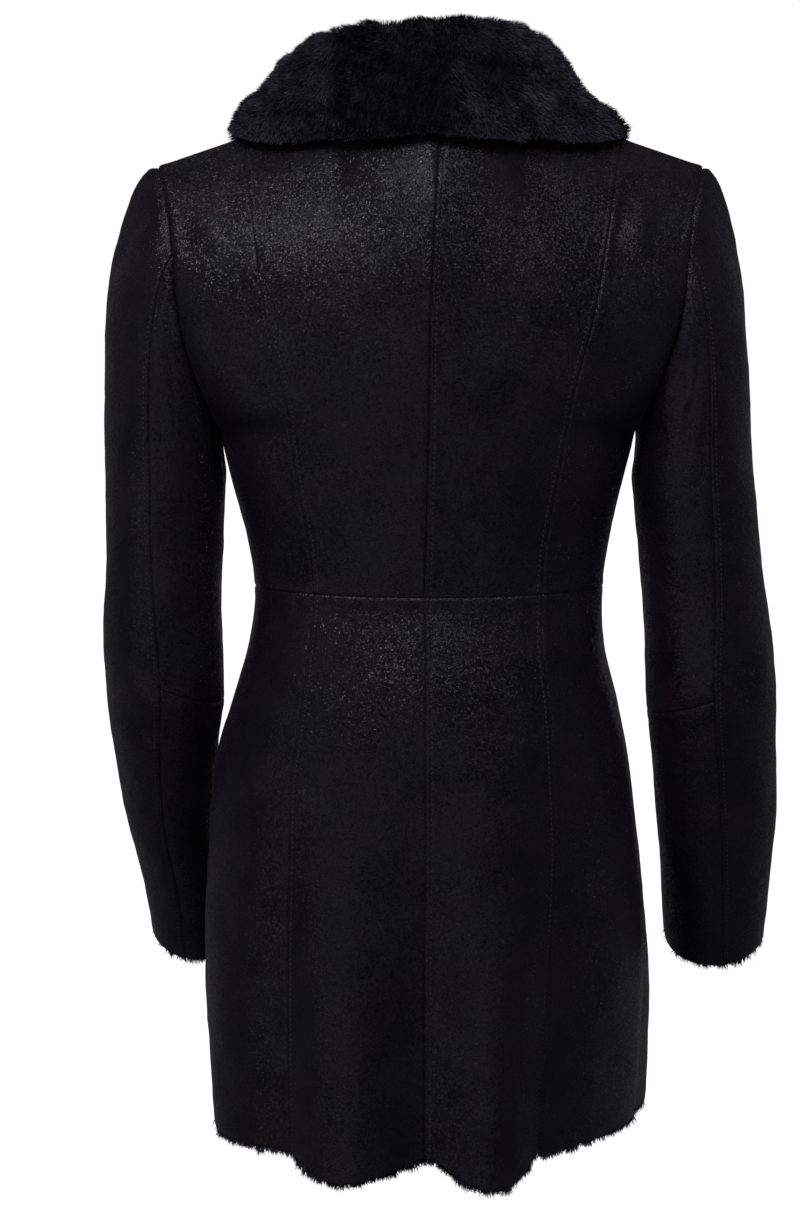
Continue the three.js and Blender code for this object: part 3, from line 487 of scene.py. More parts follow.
# Creases of the hide, each a shallow trough with a soft ridge beside it, drawn on the back or the front.
# x, z: its two ends. bend: how far its middle lies to one side. half: its half width.
CREASES = table(
    "x0 z0 x1 z1 bend half deep face",
    (212, -168, 176, -203, 5, 6, 2.6, 1),
    (214, -196, 182, -232, 4, 6, 1.8, 1),
    (-176, -180, -216, -222, -6, 8, 4.0, 1),
    (-184, -222, -226, -252, -5, 8, 3.2, 1),
    (-196, -262, -234, -280, -4, 7, 1.8, 1),
    (-171, -56, -156, -106, 3, 9, -2.4, 1),
    (173, -60, 160, -102, -3, 9, -1.6, 1),
    (164, -176, 120, -214, -6, 8, 1.2, 1),
    (-164, -176, -118, -216, 6, 8, 1.6, 1),
    (164, -176, 120, -214, -6, 8, 1.2, -1),
    (-164, -176, -118, -216, 6, 8, 1.3, -1),
    (128, -336, 66, -347, 3, 5, 1.6, 1),
    (-128, -334, -70, -349, -3, 5, 1.5, 1),
    (126, -374, 84, -366, 3, 5, 1.3, 1),
    (-124, -376, -78, -366, 3, 5, 1.3, 1),
    (228, -406, 176, -440, 4, 8, 2.6, 1),
    (234, -452, 180, -472, 4, 8, 2.2, 1),
    (-204, -412, -252, -446, -4, 8, 2.6, 1),
    (-206, -462, -254, -484, -4, 8, 2.0, 1),
    (-212, -520, -262, -530, -4, 9, 1.6, 1),
    (224, -516, 178, -528, 4, 9, 1.6, 1),
    (232, -420, 176, -432, 6, 8, 3.0, -1),
    (230, -452, 178, -450, 6, 8, 2.8, -1),
    (-200, -424, -256, -440, -6, 8, 3.0, -1),
    (-202, -460, -258, -462, -6, 8, 2.6, -1),
)
RIDGE = {"high": 0.5, "away": 1.8}  # beside a crease's trough, in shares of its depth and half width


def crease_depth(points, normals):
    total = np.zeros(points.shape[:-1])
    for x0, z0, x1, z1, bend, half, deep, face in zip(*CREASES.values()):
        along = np.array([x1 - x0, z1 - z0])
        long = np.hypot(*along)
        along = along / long
        from_start = points[..., [0, 2]] - (x0, z0)
        share = from_start @ along / long
        off = from_start @ np.array([-along[1], along[0]]) - bend * 4 * share * (1 - share)
        ends = smooth(share, -0.1, 0.35) * (1 - smooth(share, 0.6, 1.15))
        fade = ends * smooth(normals[..., 1] * face, 0, 0.4)
        ridge = RIDGE["high"] * np.exp(-((off - RIDGE["away"] * half) / half) ** 2)
        total += fade * deep * (ridge - np.exp(-(off / half) ** 2))
    return total


# Grids that are finer near their edges
def lengths(points):
    steps = np.linalg.norm(np.diff(points, axis=-2), axis=-1)
    return np.concatenate([steps[..., :1] * 0, np.cumsum(steps, -1)], -1)


def spread(long, count, lead):
    """Distances along a stretch: at the lead distances from both ends, and even between them."""
    long = np.asarray(long, float)[..., None]
    between = np.arange(1, count) / count
    return np.concatenate([lead + 0 * long, mix(lead[-1], long - lead[-1], between), long - lead[::-1]], -1)


def lay_grid(surface, step, lead):
    """Places u, v of a grid on a surface, and the distances to its four edges."""
    fine = np.linspace(0, 1, CELLS + 1)
    upward = lengths(surface(fine * 0 + 0.5, fine))
    tall = spread(upward[-1], max(2, round((upward[-1] - 2 * lead[-1]) / step)), lead)
    v = np.interp(tall, upward, fine)
    across = lengths(surface(*np.meshgrid(fine, v)))
    width = across[:, -1]
    wide = spread(width, max(2, round((width.max() - 2 * lead[-1]) / step)), lead)
    u = np.array([np.interp(a, b, fine) for a, b in zip(wide, across)])
    v = v[:, None] + u * 0
    edges = {
        "first": wide,
        "last": width[:, None] - wide,
        "bottom": tall[:, None] + u * 0,
        "top": upward[-1] - tall[:, None] + u * 0,
    }
    return u, v, edges


def seam_profile(distance, deep, stitched):
    sunk = -deep * np.exp(-(distance / SEAM["half"]) ** 2)
    raised = SEAM["band"] * deep * (1 - smooth(distance, SEAM["band_from"], SEAM["band_to"]))
    from_stitches = distance - SEAM_LEAD[STITCH_COLUMN]
    groove = SEAM["groove"] * stitched * np.exp(-(from_stitches / SEAM["groove_half"]) ** 2)
    return sunk + raised - groove


def edge_profile(distance):
    """A free edge of hide rounds over."""
    return -EDGE["round"] * np.exp(-distance / EDGE["reach"])


# Meshes
def new_object(name, points, faces, materials, numbers=None):
    """faces: arrays of corner numbers, each array for faces with one count of corners."""
    mesh = bpy.data.meshes.new(name)
    mesh.vertices.add(len(points))
    mesh.vertices.foreach_set("co", (points * MM).astype(np.float32).ravel())
    corners = np.concatenate([f.ravel() for f in faces]).astype(np.int32)
    totals = np.concatenate([np.full(len(f), f.shape[1]) for f in faces])
    mesh.loops.add(len(corners))
    mesh.loops.foreach_set("vertex_index", corners)
    mesh.polygons.add(len(totals))
    mesh.polygons.foreach_set("loop_start", (np.cumsum(totals) - totals).astype(np.int32))
    for material in materials:
        mesh.materials.append(material)
    if numbers is not None:
        mesh.polygons.foreach_set("material_index", numbers.astype(np.int32))
    mesh.polygons.foreach_set("use_smooth", np.ones(len(totals), bool))
    mesh.update(calc_edges=True)
    mesh.validate()
    obj = bpy.data.objects.new(name, mesh)
    bpy.context.scene.collection.objects.link(obj)
    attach(obj, "root")
    return obj


def quads(a, b, c, d):
    return np.stack([a, b, c, d], -1).reshape(-1, 4)


def shell_faces(rows, columns):
    """Faces of the outer grid, the inner grid and the rim between them."""
    number = np.arange(rows * columns).reshape(rows, columns)
    outer = quads(number[:-1, :-1], number[:-1, 1:], number[1:, 1:], number[1:, :-1])
    loop = np.concatenate([number[0], number[1:, -1], number[-1, -2::-1], number[-2:0:-1, 0]])
    onward = np.roll(loop, -1)
    below = rows * columns
    return outer, outer[:, ::-1] + below, quads(onward, loop, loop + below, onward + below)


def shell(outer, inner):
    """Points and faces of a closed wall between two grids, with its faces pointing out."""
    rows, columns = outer.shape[:2]
    points = np.concatenate([outer.reshape(-1, 3), inner.reshape(-1, 3)])
    faces = shell_faces(rows, columns)
    r, c = rows // 2, columns // 2
    cross = np.cross(outer[r, c + 1] - outer[r, c], outer[r + 1, c] - outer[r, c])
    if cross @ (outer[r, c] - inner[r, c]) < 0:
        faces = [f[:, ::-1] for f in faces]
    return points, faces


def joined(shells):
    """Several closed meshes as one."""
    points, faces, start = [], [], 0
    for part_points, part_faces in shells:
        points.append(part_points)
        faces += [f + start for f in part_faces]
        start += len(part_points)
    return np.concatenate(points), faces


# Materials
class Material:
    """A material's node tree, with short ways to add to it."""

    def __init__(self, name, **settings):
        self.made = bpy.data.materials.new(name)
        self.made.use_nodes = True
        self.tree = self.made.node_tree
        self.shader = self.tree.nodes["Principled BSDF"]
        self.place = self.tree.nodes.new("ShaderNodeTexCoord").outputs["Object"]
        for socket, value in settings.items():
            self.shader.inputs[socket.replace("_", " ")].default_value = value

    def link(self, source, target):
        self.tree.links.new(source, target)

    def node(self, kind, result, inputs, **settings):
        made = self.tree.nodes.new("ShaderNode" + kind)
        for key, value in settings.items():
            setattr(made, key, value)
        for key, value in inputs.items():
            if isinstance(value, bpy.types.NodeSocket):
                self.link(value, made.inputs[key])
            else:
                made.inputs[key].default_value = value
        return made.outputs[result]

    def noise(self, size_mm, detail=2, rough=0.5, distortion=0.0):
        inputs = {"Vector": self.place, "Scale": 1000 / size_mm, "Detail": detail, "Roughness": rough}
        return self.node("TexNoise", "Fac", {**inputs, "Distortion": distortion})

    def cells(self, size_mm, result="Distance"):
        return self.node("TexVoronoi", result, {"Vector": self.place, "Scale": 1000 / size_mm})

    def vector(self, operation, a, b):
        return self.node("VectorMath", "Vector", {0: a, 1: b}, operation=operation)

    def ramp(self, value, *stops):
        made = self.tree.nodes.new("ShaderNodeValToRGB")
        self.link(value, made.inputs["Fac"])
        for i, (at, colour) in enumerate(stops):
            stop = made.color_ramp.elements[i] if i < 2 else made.color_ramp.elements.new(at)
            stop.position, stop.color = at, (*colour, 1)
        return made.outputs["Color"]

    def span(self, value, low, high, to_low, to_high):
        inputs = {"Value": value, "From Min": low, "From Max": high, "To Min": to_low, "To Max": to_high}
        return self.node("MapRange", "Result", inputs)

    def math(self, operation, a, b):
        return self.node("Math", "Value", {0: a, 1: b}, operation=operation)

    def blend(self, share, a, b, blend_type="MIX"):
        made = self.tree.nodes.new("ShaderNodeMix")
        made.data_type = "RGBA"
        made.blend_type = blend_type
        for key, value in ((0, share), (6, a), (7, b)):
            if isinstance(value, bpy.types.NodeSocket):
                self.link(value, made.inputs[key])
            else:
                made.inputs[key].default_value = value if key == 0 else (*value, 1)
        return made.outputs[2]

    def bump(self, height, distance_mm, strength, normal=None):
        inputs = {"Height": height, "Distance": distance_mm * MM, "Strength": strength}
        if normal is not None:
            inputs["Normal"] = normal
        return self.node("Bump", "Normal", inputs)


FLAKE = {"size": 1.2, "tilt": 0.4}


def suede_material():
    m = Material("suede", Specular_IOR_Level=0.3, Sheen_Weight=0.05, Sheen_Roughness=0.45)
    m.shader.inputs["Sheen Tint"].default_value = (0.9, 0.75, 1.0, 1)
    blotch = m.noise(45, 6, 0.66, 0.4)
    tone = m.ramp(blotch, (0.4, (0.0034, 0.0024, 0.0036)), (0.58, (0.0112, 0.0085, 0.0118)))
    tint = m.ramp(m.noise(62, 4, 0.6), (0.42, (0.85, 1.02, 1.1)), (0.6, (1.3, 0.88, 0.9)))
    colour = m.blend(1.0, tone, tint, "MULTIPLY")
    nap = m.ramp(m.noise(2.6, 4, 0.7), (0.3, (0.6, 0.6, 0.6)), (0.72, (1.4, 1.4, 1.4)))
    m.link(m.blend(1.0, colour, nap, "MULTIPLY"), m.shader.inputs["Base Color"])
    dull = m.span(m.noise(30, 4, 0.6), 0.35, 0.65, 0.47, 0.35)
    chance = m.cells(FLAKE["size"], "Color")
    speck = m.span(m.node("SeparateColor", "Red", {"Color": chance}), 0.5, 0.9, 0, -0.26)
    m.link(m.math("ADD", dull, speck), m.shader.inputs["Roughness"])
    # each flake of the finish is tilted by chance
    from_middle = m.vector("SUBTRACT", m.place, m.cells(FLAKE["size"], "Position"))
    tilt = m.vector("SUBTRACT", chance, (0.5, 0.5, 0.5))
    facet = m.node("VectorMath", "Value", {0: from_middle, 1: tilt}, operation="DOT_PRODUCT")
    coarse = m.bump(m.noise(1.6, 2, 0.6), 0.4, 1.0, m.bump(m.noise(7, 3, 0.6), 0.3, 0.4))
    m.link(m.bump(facet, FLAKE["tilt"] * 1000, 1.0, coarse), m.shader.inputs["Normal"])
    return m.made


def pile_material():
    m = Material("pile", Roughness=0.75, Specular_IOR_Level=0.35, Sheen_Weight=0.25, Sheen_Roughness=0.5)
    m.shader.inputs["Sheen Tint"].default_value = (0.75, 0.78, 1.0, 1)
    tone = m.ramp(m.noise(9, 5, 0.7), (0.35, (0.002, 0.002, 0.0028)), (0.7, (0.010, 0.0098, 0.0125)))
    m.link(tone, m.shader.inputs["Base Color"])
    clumps = m.bump(m.noise(9, 3), 2.5, 0.8)
    m.link(m.bump(m.noise(2.6, 5, 0.75, 0.6), 1.6, 1.0, clumps), m.shader.inputs["Normal"])
    return m.made


def fur_material():
    """Black pile in random darker and lighter patches, with a painted sheen: its base colour is lighter
    towards the collar's sides and darkest in the middle, standing in for how the light falls on it.
    """
    m = Material("fur", Roughness=0.42, Specular_IOR_Level=0.22, Sheen_Weight=0.1, Sheen_Roughness=0.4)
    m.shader.inputs["Sheen Tint"].default_value = (0.72, 0.78, 1.0, 1)
    across = m.node("SeparateXYZ", "X", {"Vector": m.place})
    # Painted sheen: the base colour grows lighter with the distance from the collar's middle line, so that
    # its sides look lit and its middle stays dark as painted shade
    shifted = m.math("ABSOLUTE", m.math("ADD", across, -PAINTED_SHEEN["middle"] * MM), 0.0)
    aside = m.span(shifted, PAINTED_SHEEN["from"] * MM, PAINTED_SHEEN["to"] * MM, 0, PAINTED_SHEEN["lift"])
    patches_and_sheen = m.math("ADD", m.noise(22, 4, 0.62, 0.5), aside)
    dark, lit = (0.0008, 0.0009, 0.0020), (0.085, 0.085, 0.108)
    m.link(m.ramp(patches_and_sheen, (0.5, dark), (0.95, lit)), m.shader.inputs["Base Color"])
    return m.made


def thread_material():
    m = Material("thread", Specular_IOR_Level=0.5, Roughness=0.4)
    tone = m.ramp(m.noise(4, 3), (0.35, (0.02, 0.019, 0.022)), (0.7, (0.05, 0.047, 0.052)))
    m.link(tone, m.shader.inputs["Base Color"])
    m.link(m.bump(m.noise(0.4, 2), 0.1, 0.6), m.shader.inputs["Normal"])
    return m.made


def horn_material():
    m = Material("horn", Specular_IOR_Level=0.5, Coat_Weight=0.4, Coat_Roughness=0.12)
    tone = m.ramp(m.noise(9, 5, 0.6, 1.5), (0.4, (0.0045, 0.0045, 0.005)), (0.7, (0.016, 0.0145, 0.014)))
    m.link(tone, m.shader.inputs["Base Color"])
    m.link(m.span(m.noise(3, 3), 0.3, 0.7, 0.24, 0.36), m.shader.inputs["Roughness"])
    m.link(m.bump(m.noise(5, 3), 0.15, 0.25), m.shader.inputs["Normal"])
    return m.made


SUEDE = suede_material()
PILE = pile_material()
FUR = fur_material()
THREAD = thread_material()
HORN = horn_material()


# Sheets of hide
def finish_sheet(name, node, outer, normals):
    """One panel's shell of hide, which hides its part of the CAD model."""
    points, faces = shell(outer, outer - normals * HIDE)
    obj = new_object(name, points, faces, [SUEDE])
    obj.data.set_sharp_from_angle(angle=math.radians(50))
    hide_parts(node)
    wide = lengths(outer * (1, 1, 0)).max()
    tall = lengths(np.swapaxes(outer, 0, 1)).max()
    cell = np.cross(outer[:-1, 1:] - outer[:-1, :-1], outer[1:, :-1] - outer[:-1, :-1])
    area = np.linalg.norm(cell, axis=-1).sum() * MM * MM
    area = min(area, wide * tall * MM * MM)
    return obj


SEWN = {}  # lines of topstitching: points and normals
HEMS = {}  # lines of fringe: points, normals and the way down
PILE_SHELLS = {"body": [], "sleeve_left": [], "sleeve_right": []}


def sink(edges, sewn, stitched):
    """How far the hide lies in or stands out near its edges."""
    total = 0
    for edge, distance in edges.items():
        if sewn[edge]:
            total = total + seam_profile(distance, sewn[edge], edge in stitched)
        else:
            total = total + edge_profile(distance)
    return total


def keep_stitches(name, outer, normals, stitched):
    for edge in stitched:
        index = STITCH_COLUMN if edge in ("first", "bottom") else -1 - STITCH_COLUMN
        line = (slice(None), index) if edge in ("first", "last") else (index, slice(None))
        SEWN[f"{name} {edge}"] = (outer[line], normals[line])


def make_sheet(node, surface, normal, sewn, stitched, pile):
    u, v, edges = lay_grid(surface, GRID_STEP, SEAM_LEAD)
    points, normals = surface(u, v), normal(u, v)
    outer = points + normals * sink(edges, sewn, stitched)[..., None]
    relief = crease_depth(points, normals) + layered(points, HIDE_RELIEF)
    inside = np.minimum.reduce([edges[k] for k in edges])
    outer = outer + normals * (relief * smooth(inside, 0, RELIEF_EDGE))[..., None]
    keep_stitches(node, outer, normals, stitched)
    finish_sheet(f"hide_{node}", node, outer, normals)
    u, v, edges = lay_grid(surface, PILE_STEP, PILE_LEAD)
    points, normals = surface(u, v), normal(u, v)
    lumps = layered(points, PILE_LUMPS)
    outer = points - normals * (HIDE + 0.3)
    inner = points - normals * (WALL - 0.6 + lumps)[..., None]
    PILE_SHELLS[pile].append(shell(outer, inner))


CHEST_AT = 0.36  # share of a bodice panel's height that lies below the chest


def bodice_level(v):
    above = np.maximum(0, (v - CHEST_AT) / (1 - CHEST_AT))
    return np.where(v < CHEST_AT, mix(WAIST_Z, CHEST_Z, v / CHEST_AT), above)


# Topstitching lies beside the centre-back seam on the right, on the inner side of the princess seams, and
# along the upper front's edge
STITCHED_EDGES = {
    ("back_centre", 1): ["last"],
    ("back_centre", -1): ["first", "last"],
    ("front_centre", 1): ["last"],
    ("front_centre", -1): ["first", "last"],
}

# How deep each lengthwise seam lies, by its name and face: left, right. The centre front is a free edge.
SEAM_DEPTHS = {
    ("centre", "back"): (1.2, 1.2),
    ("princess", "back"): (0.5, 0.9),
    ("centre", "front"): (0, 0),
    ("princess", "front"): (0.7, 0.7),
    ("side", "back"): (1, 1),
    ("side", "front"): (1, 1),
}


def seam_depths(panel, side):
    face, start, end = PANELS[panel]
    which = 0 if side > 0 else 1
    return {"first": SEAM_DEPTHS[start, face][which], "last": SEAM_DEPTHS[end, face][which]}


def waist_dip(face, share):
    return WAIST_DIP * (1 - share * share) if face == "back" else share * 0


def bodice_sheet(panel, side):
    face, _, end = PANELS[panel]

    def surface(u, v):
        level = bodice_level(v)
        share = panel_share(panel, side, u, level)
        point = body_point(face, side, share, level)
        under = underlap(face, side, share, level)[..., None]
        point = point - body_normal(face, side, share, level) * under
        dip = waist_dip(face, share) * (1 - smooth(level, WAIST_Z, WAIST_Z + 40)) * (level < 0)
        point[..., 2] -= dip
        return point

    def normal(u, v):
        level = bodice_level(v)
        share = panel_share(panel, side, u, level)
        own = body_normal(face, side, share, level)
        top = shoulder_normal(side, np.clip(np.abs(share), NECK_SHARE + 0.03, SIDE))
        past_neck = smooth(np.abs(share), NECK_SHARE - 0.06, NECK_SHARE)
        near_top = np.exp(-((1 - np.maximum(level, 0)) / 0.04) ** 2) * past_neck
        own = unit(mix(own, top, near_top[..., None]))
        if end == "side":
            seam = armhole_normal(face, side, np.maximum(level, 0))
            near = np.exp(-((1 - share) / 0.05) ** 2) * (level >= 0)
            own = unit(mix(own, seam, near[..., None]))
        return own

    sewn = {**seam_depths(panel, side), "bottom": CROSS_SEAM, "top": CROSS_SEAM}
    stitched = STITCHED_EDGES.get((panel, side), [])
    make_sheet(f"bodice_{panel}_{WORDS[side]}", surface, normal, sewn, stitched, "body")


def fold_arch(panel, side, u):
    if panel != "front_centre":
        return np.sin(np.pi * np.clip(u, 0, 1)) ** FOLD_SHARPNESS
    share = panel_share(panel, side, u, HEM_Z)
    flat = OVERLAP + PLACKET_EASE
    free = (share - flat) / (panel_share(panel, side, 1, HEM_Z) - flat)
    return np.abs(np.sin(np.pi * np.clip(free, 0, 1))) ** FOLD_SHARPNESS


def skirt_sheet(panel, side):
    face = PANELS[panel][0]
    bulge, dip = SKIRT_FOLDS[side][panel]

    def place(u, v):
        arch = fold_arch(panel, side, u)
        z = mix(HEM_Z - dip * arch, WAIST_Z, v)
        return arch, z, panel_share(panel, side, u, z)

    def surface(u, v):
        arch, z, share = place(u, v)
        normal = body_normal(face, side, share, z)
        flat = unit(normal * (1, 1, 0))
        shown = smooth(FOLD_TOP_Z - z, 0, FOLD_TOP_Z - HEM_Z)
        point = body_point(face, side, share, z) + flat * (bulge * arch * shown)[..., None]
        point = point - normal * underlap(face, side, share, z)[..., None]
        point[..., 2] -= waist_dip(face, share) * smooth(z, WAIST_DIP_END_Z, WAIST_Z)
        return point

    def normal(u, v):
        _, z, share = place(u, v)
        return body_normal(face, side, share, z)

    sewn = {edge: SKIRT_SEAM_SHARE * deep for edge, deep in seam_depths(panel, side).items()}
    sewn.update({"bottom": 0, "top": CROSS_SEAM})
    stitched = STITCHED_EDGES.get((panel, side), [])
    make_sheet(f"skirt_{panel}_{WORDS[side]}", surface, normal, sewn, stitched, "body")
    u = np.linspace(0, 1, 120)
    HEMS[f"{panel} {side}"] = (surface(u, u * 0), normal(u, u * 0), vec(u * 0, u * 0, u * 0 - 1))



def sleeve_sheets(side):
    word = WORDS[side]
    pieces = {
        "top_sleeve": (3, 5, 3, 0),
        "under_sleeve_upper": (1, 3, 2, 0),
        "under_sleeve_lower": (1, 3, 3, 2),
    }
    for piece, (turn_from, turn_to, at_bottom, at_top) in pieces.items():

        def surface(u, v):
            return sleeve_point(side, mix(turn_from, turn_to, u), mix(at_bottom, at_top, v))

        def normal(u, v):
            turn, at = mix(turn_from, turn_to, u), mix(at_bottom, at_top, v)
            own = sleeve_normal(side, turn, at)
            up = armhole_up(turn)
            back = (np.mod(turn, 4) <= 2)[..., None]
            seam = np.where(back, armhole_normal("back", side, up), armhole_normal("front", side, up))
            return unit(mix(own, seam, np.exp(-(at / 0.06) ** 2)[..., None]))

        sewn = {"first": CROSS_SEAM, "last": CROSS_SEAM, "top": ARMHOLE_SEAM}
        sewn["bottom"] = ELBOW_SEAM * (at_bottom == 2)
        stitched = ["last"] if piece == "top_sleeve" else []
        make_sheet(f"{piece}_{word}", surface, normal, sewn, stitched, f"sleeve_{word}")
    turn = np.linspace(0, 4, 260)
    cuff = sleeve_point(side, turn, turn * 0 + 3)
    down = unit(cuff - sleeve_point(side, turn, turn * 0 + 2.9))
    HEMS[f"cuff {side}"] = (cuff, sleeve_normal(side, turn, turn * 0 + 3), down)


# Topstitching
def stitches(points, normals):
    """Short raised stitches along a line, as points and faces."""
    along = lengths(points)
    starts = np.arange(2, along[-1] - STITCH["pitch"], STITCH["pitch"])

    def at(distance, values):
        return np.stack([np.interp(distance, along, values[:, k]) for k in range(3)], -1)

    middle = at(starts + STITCH["long"] / 2, points)
    ahead = unit(at(starts + STITCH["long"], points) - at(starts, points))
    up = unit(at(starts, normals))
    side = np.cross(ahead, up)
    shape = [(-0.5, 0, 0)]
    for share, wide in ((-0.32, 0.85), (0.32, 0.85)):
        shape += [(share, wide / 2, 0), (share, 0, 1), (share, -wide / 2, 0), (share, 0, -1)]
    shape.append((0.5, 0, 0))
    corners = [
        middle + ahead * a * STITCH["long"] + side * s * STITCH["wide"] + up * h * STITCH["high"]
        for a, s, h in shape
    ]
    count = len(starts)
    verts = np.stack(corners, 1).reshape(-1, 3)
    first = np.arange(count)[:, None] * len(shape)
    ends, walls = [], []
    for k in range(4):
        after = (k + 1) % 4
        ends += [(0, 1 + after, 1 + k), (9, 5 + k, 5 + after)]
        walls.append((1 + k, 1 + after, 5 + after, 5 + k))
    tris = np.concatenate([first + np.array(e) for e in ends])
    squares = np.concatenate([first + np.array(w) for w in walls])
    return verts, [tris, squares]


def make_stitches():
    parts = {"body": [], "sleeves": []}
    for name, (points, normals) in SEWN.items():
        parts["sleeves" if "sleeve" in name else "body"].append(stitches(points, normals))
    for word, lines in parts.items():
        points, faces = joined(lines)
        new_object(f"stitches_{word}", points, faces, [THREAD])


# Pile and fur
def blades(name, roots, ahead, long, wide, bend, seed):
    """One mesh of tapering blades, each bent once."""
    chance = np.random.default_rng(seed)
    count = len(roots)
    turned = chance.uniform(0, np.pi, count)[:, None]
    other = unit(np.cross(ahead, chance.normal(size=(count, 3))))
    side = other * np.cos(turned) + np.cross(ahead, other) * np.sin(turned)
    long, wide = long[:, None], wide[:, None]
    middle = roots + ahead * long * 0.5
    tip = middle + unit(ahead + bend) * long * 0.5
    verts = np.stack([
        roots - side * wide / 2, roots + side * wide / 2,
        middle + side * wide * 0.38, middle - side * wide * 0.38, tip,
    ], 1).reshape(-1, 3)
    first = np.arange(count)[:, None] * 5
    faces = [first + np.array((0, 1, 2, 3)), first + np.array((3, 2, 4))]
    return new_object(name, verts, faces, [FUR])


def make_pile():
    for word, shells in PILE_SHELLS.items():
        points, faces = joined(shells)
        new_object(f"pile_{word}", points, faces, [PILE])


FRINGE = {"per_mm": 15, "root": 4, "long": (7.5, 11.5), "wide": 1.0, "splay": 0.22, "bend": 0.25}


def make_fringe():
    parts = {"hem": [], "cuff_left": [], "cuff_right": []}
    for name, line in HEMS.items():
        part = {"cuff 1": "cuff_left", "cuff -1": "cuff_right"}.get(name, "hem")
        parts[part].append(line)
    for number, (part, lines) in enumerate(parts.items()):
        chance = np.random.default_rng(SEED + number)
        roots, ahead = [], []
        for points, normals, down in lines:
            along = lengths(points)
            count = int(along[-1] * FRINGE["per_mm"])
            where = chance.uniform(0, along[-1], count)

            def at(values):
                return np.stack([np.interp(where, along, values[:, k]) for k in range(3)], -1)

            depth = chance.uniform(HIDE + 0.2, WALL - 0.5, count)[:, None]
            roots.append(at(points) - at(normals) * depth - at(down) * FRINGE["root"])
            lean = at(normals) * (0.12 * waves(at(points), 30, 21) + 0.02)[:, None]
            ahead.append(unit(at(down) + lean + chance.normal(size=(count, 3)) * FRINGE["splay"]))
        roots, ahead = np.concatenate(roots), np.concatenate(ahead)
        clump = 1 + 0.16 * waves(roots, 9, 22)
        long = chance.uniform(*FRINGE["long"], len(roots)) * np.clip(clump, 0.6, 1.25)
        wide = FRINGE["wide"] * chance.uniform(0.7, 1.3, len(roots))
        bend = chance.normal(size=roots.shape) * FRINGE["bend"]
        blades(f"fringe_{part}", roots, ahead, long, wide, bend, SEED + number)


# Collar
def neckline(side, along):
    """The middle of the neckline edge, its outer and inner points, and how the body's wall would run on."""
    back = along <= 1
    face = "back" if back else "front"
    u = (along if back else 2 - along) / 2

    def outer_at(place, level):
        share = panel_share(face + "_centre", side, place, level)
        away = body_normal(face, side, share, level) * underlap(face, side, share, level)[..., None]
        return body_point(face, side, share, level) - away, share

    outer, share = outer_at(u, 1.0)
    near, _ = outer_at(u + 0.01, 1.0)
    below, _ = outer_at(u, 1 - NECK_STEP[face])
    edge = unit(near - outer)
    onward = outer - below
    onward = unit(onward - edge * dot(onward, edge))
    between = shoulder_normal(side, np.float64(NECK_SHARE + 0.03))
    normal = unit(mix(body_normal(face, side, share, 1.0), between, max(0, 1 - abs(along - 1) / 0.2)))
    return outer, outer - normal * WALL, onward


def catmull_rom(points, shares):
    """A centripetal curve through the points, at shares of its stretches."""
    last = len(points) - 1
    padded = np.concatenate([[2 * points[0] - points[1]], points, [2 * points[-1] - points[-2]]])
    place = shares * last
    low = np.minimum(place.astype(int), last - 1)
    t = (place - low)[:, None]
    p0, p1, p2, p3 = (padded[low + k] for k in range(4))
    pairs = (p0, p1), (p1, p2), (p2, p3)
    d0, d1, d2 = (np.sqrt(np.linalg.norm(b - a, axis=-1, keepdims=True)) for a, b in pairs)
    m1 = ((p1 - p0) / d0 - (p2 - p0) / (d0 + d1) + (p2 - p1) / d1) * d1
    m2 = ((p2 - p1) / d1 - (p3 - p1) / (d1 + d2) + (p3 - p2) / d2) * d1
    return p1 + m1 * t + (-3 * p1 + 3 * p2 - 2 * m1 - m2) * t ** 2 + (2 * p1 - 2 * p2 + m1 + m2) * t ** 3


def collar_line(side, along, shares):
    """Points in the middle of the collar's thickness, from the neckline over the roll to the edge."""
    columns = ("foldX", "foldY", "foldZ", "edgeS", "edgeQ")
    get = {k: float(read(COLLAR, "along", k, np.float64(along))) for k in columns}
    outer, inner, onward = neckline(side, along)
    neck = (outer + inner) / 2
    tilt = 1 - COLLAR_TILT * side * float(smooth(get["foldX"], 0, COLLAR_TILT_OUT))
    fold = np.array([COLLAR_SHIFT + side * get["foldX"], get["foldY"], get["foldZ"] * tilt])
    q = get["edgeQ"]
    edge = body_point("back" if q <= 0 else "front", side, get["edgeS"], 1 - abs(q))
    up = body_normal("back", side, get["edgeS"], 1 - max(0, -q))
    up_front = body_normal("front", side, get["edgeS"], 1 - max(0, q))
    up = unit(mix(up, up_front, float(smooth(q, -SHOULDER_BLEND, SHOULDER_BLEND))))
    edge = edge + up * COLLAR_LIFT
    spring = neck + onward * COLLAR_SPRING
    away = unit((edge - neck) * (1, 1, 0))
    rise, fall = unit(fold - neck), unit(edge - fold)
    roll = min(ROLL["radius"], np.linalg.norm(fold - neck) / 3)
    before = fold + away * roll * ROLL["before"][0] + rise * roll * ROLL["before"][1]
    after = fold + away * roll * ROLL["after"][0] + fall * roll * ROLL["after"][1]
    route = [neck, spring, mix(spring, before, 0.5), before, fold, after, mix(after, edge, 0.5), edge]
    return catmull_rom(np.array(route), shares)


COLLAR_STATIONS = 151
COLLAR_ROWS = 54
COLLAR_LEAN = {"by": 6, "middle": 24, "half": 42}
PILE_HEIGHT = 2.8  # how much of the collar's thickness the tufts take
BACK_FUR_TO = 0.62  # how far along the collar the fur of its back reaches
TUFTS = {"count": 150000, "long": (3.4, 5.6), "wide": 0.55}


def lean_share(points):
    """The fall leans a little to the wearer's left on both sides, and more so halfway down."""
    high = COLLAR_LEAN["middle"] + COLLAR_LEAN["half"]
    low = COLLAR_LEAN["middle"] - COLLAR_LEAN["half"]
    x, z = points[..., 0], points[..., 2]
    aside = smooth(np.abs(x), 50, 90)
    return aside * smooth(z, low, COLLAR_LEAN["middle"]) * (1 - smooth(z, COLLAR_LEAN["middle"], high))


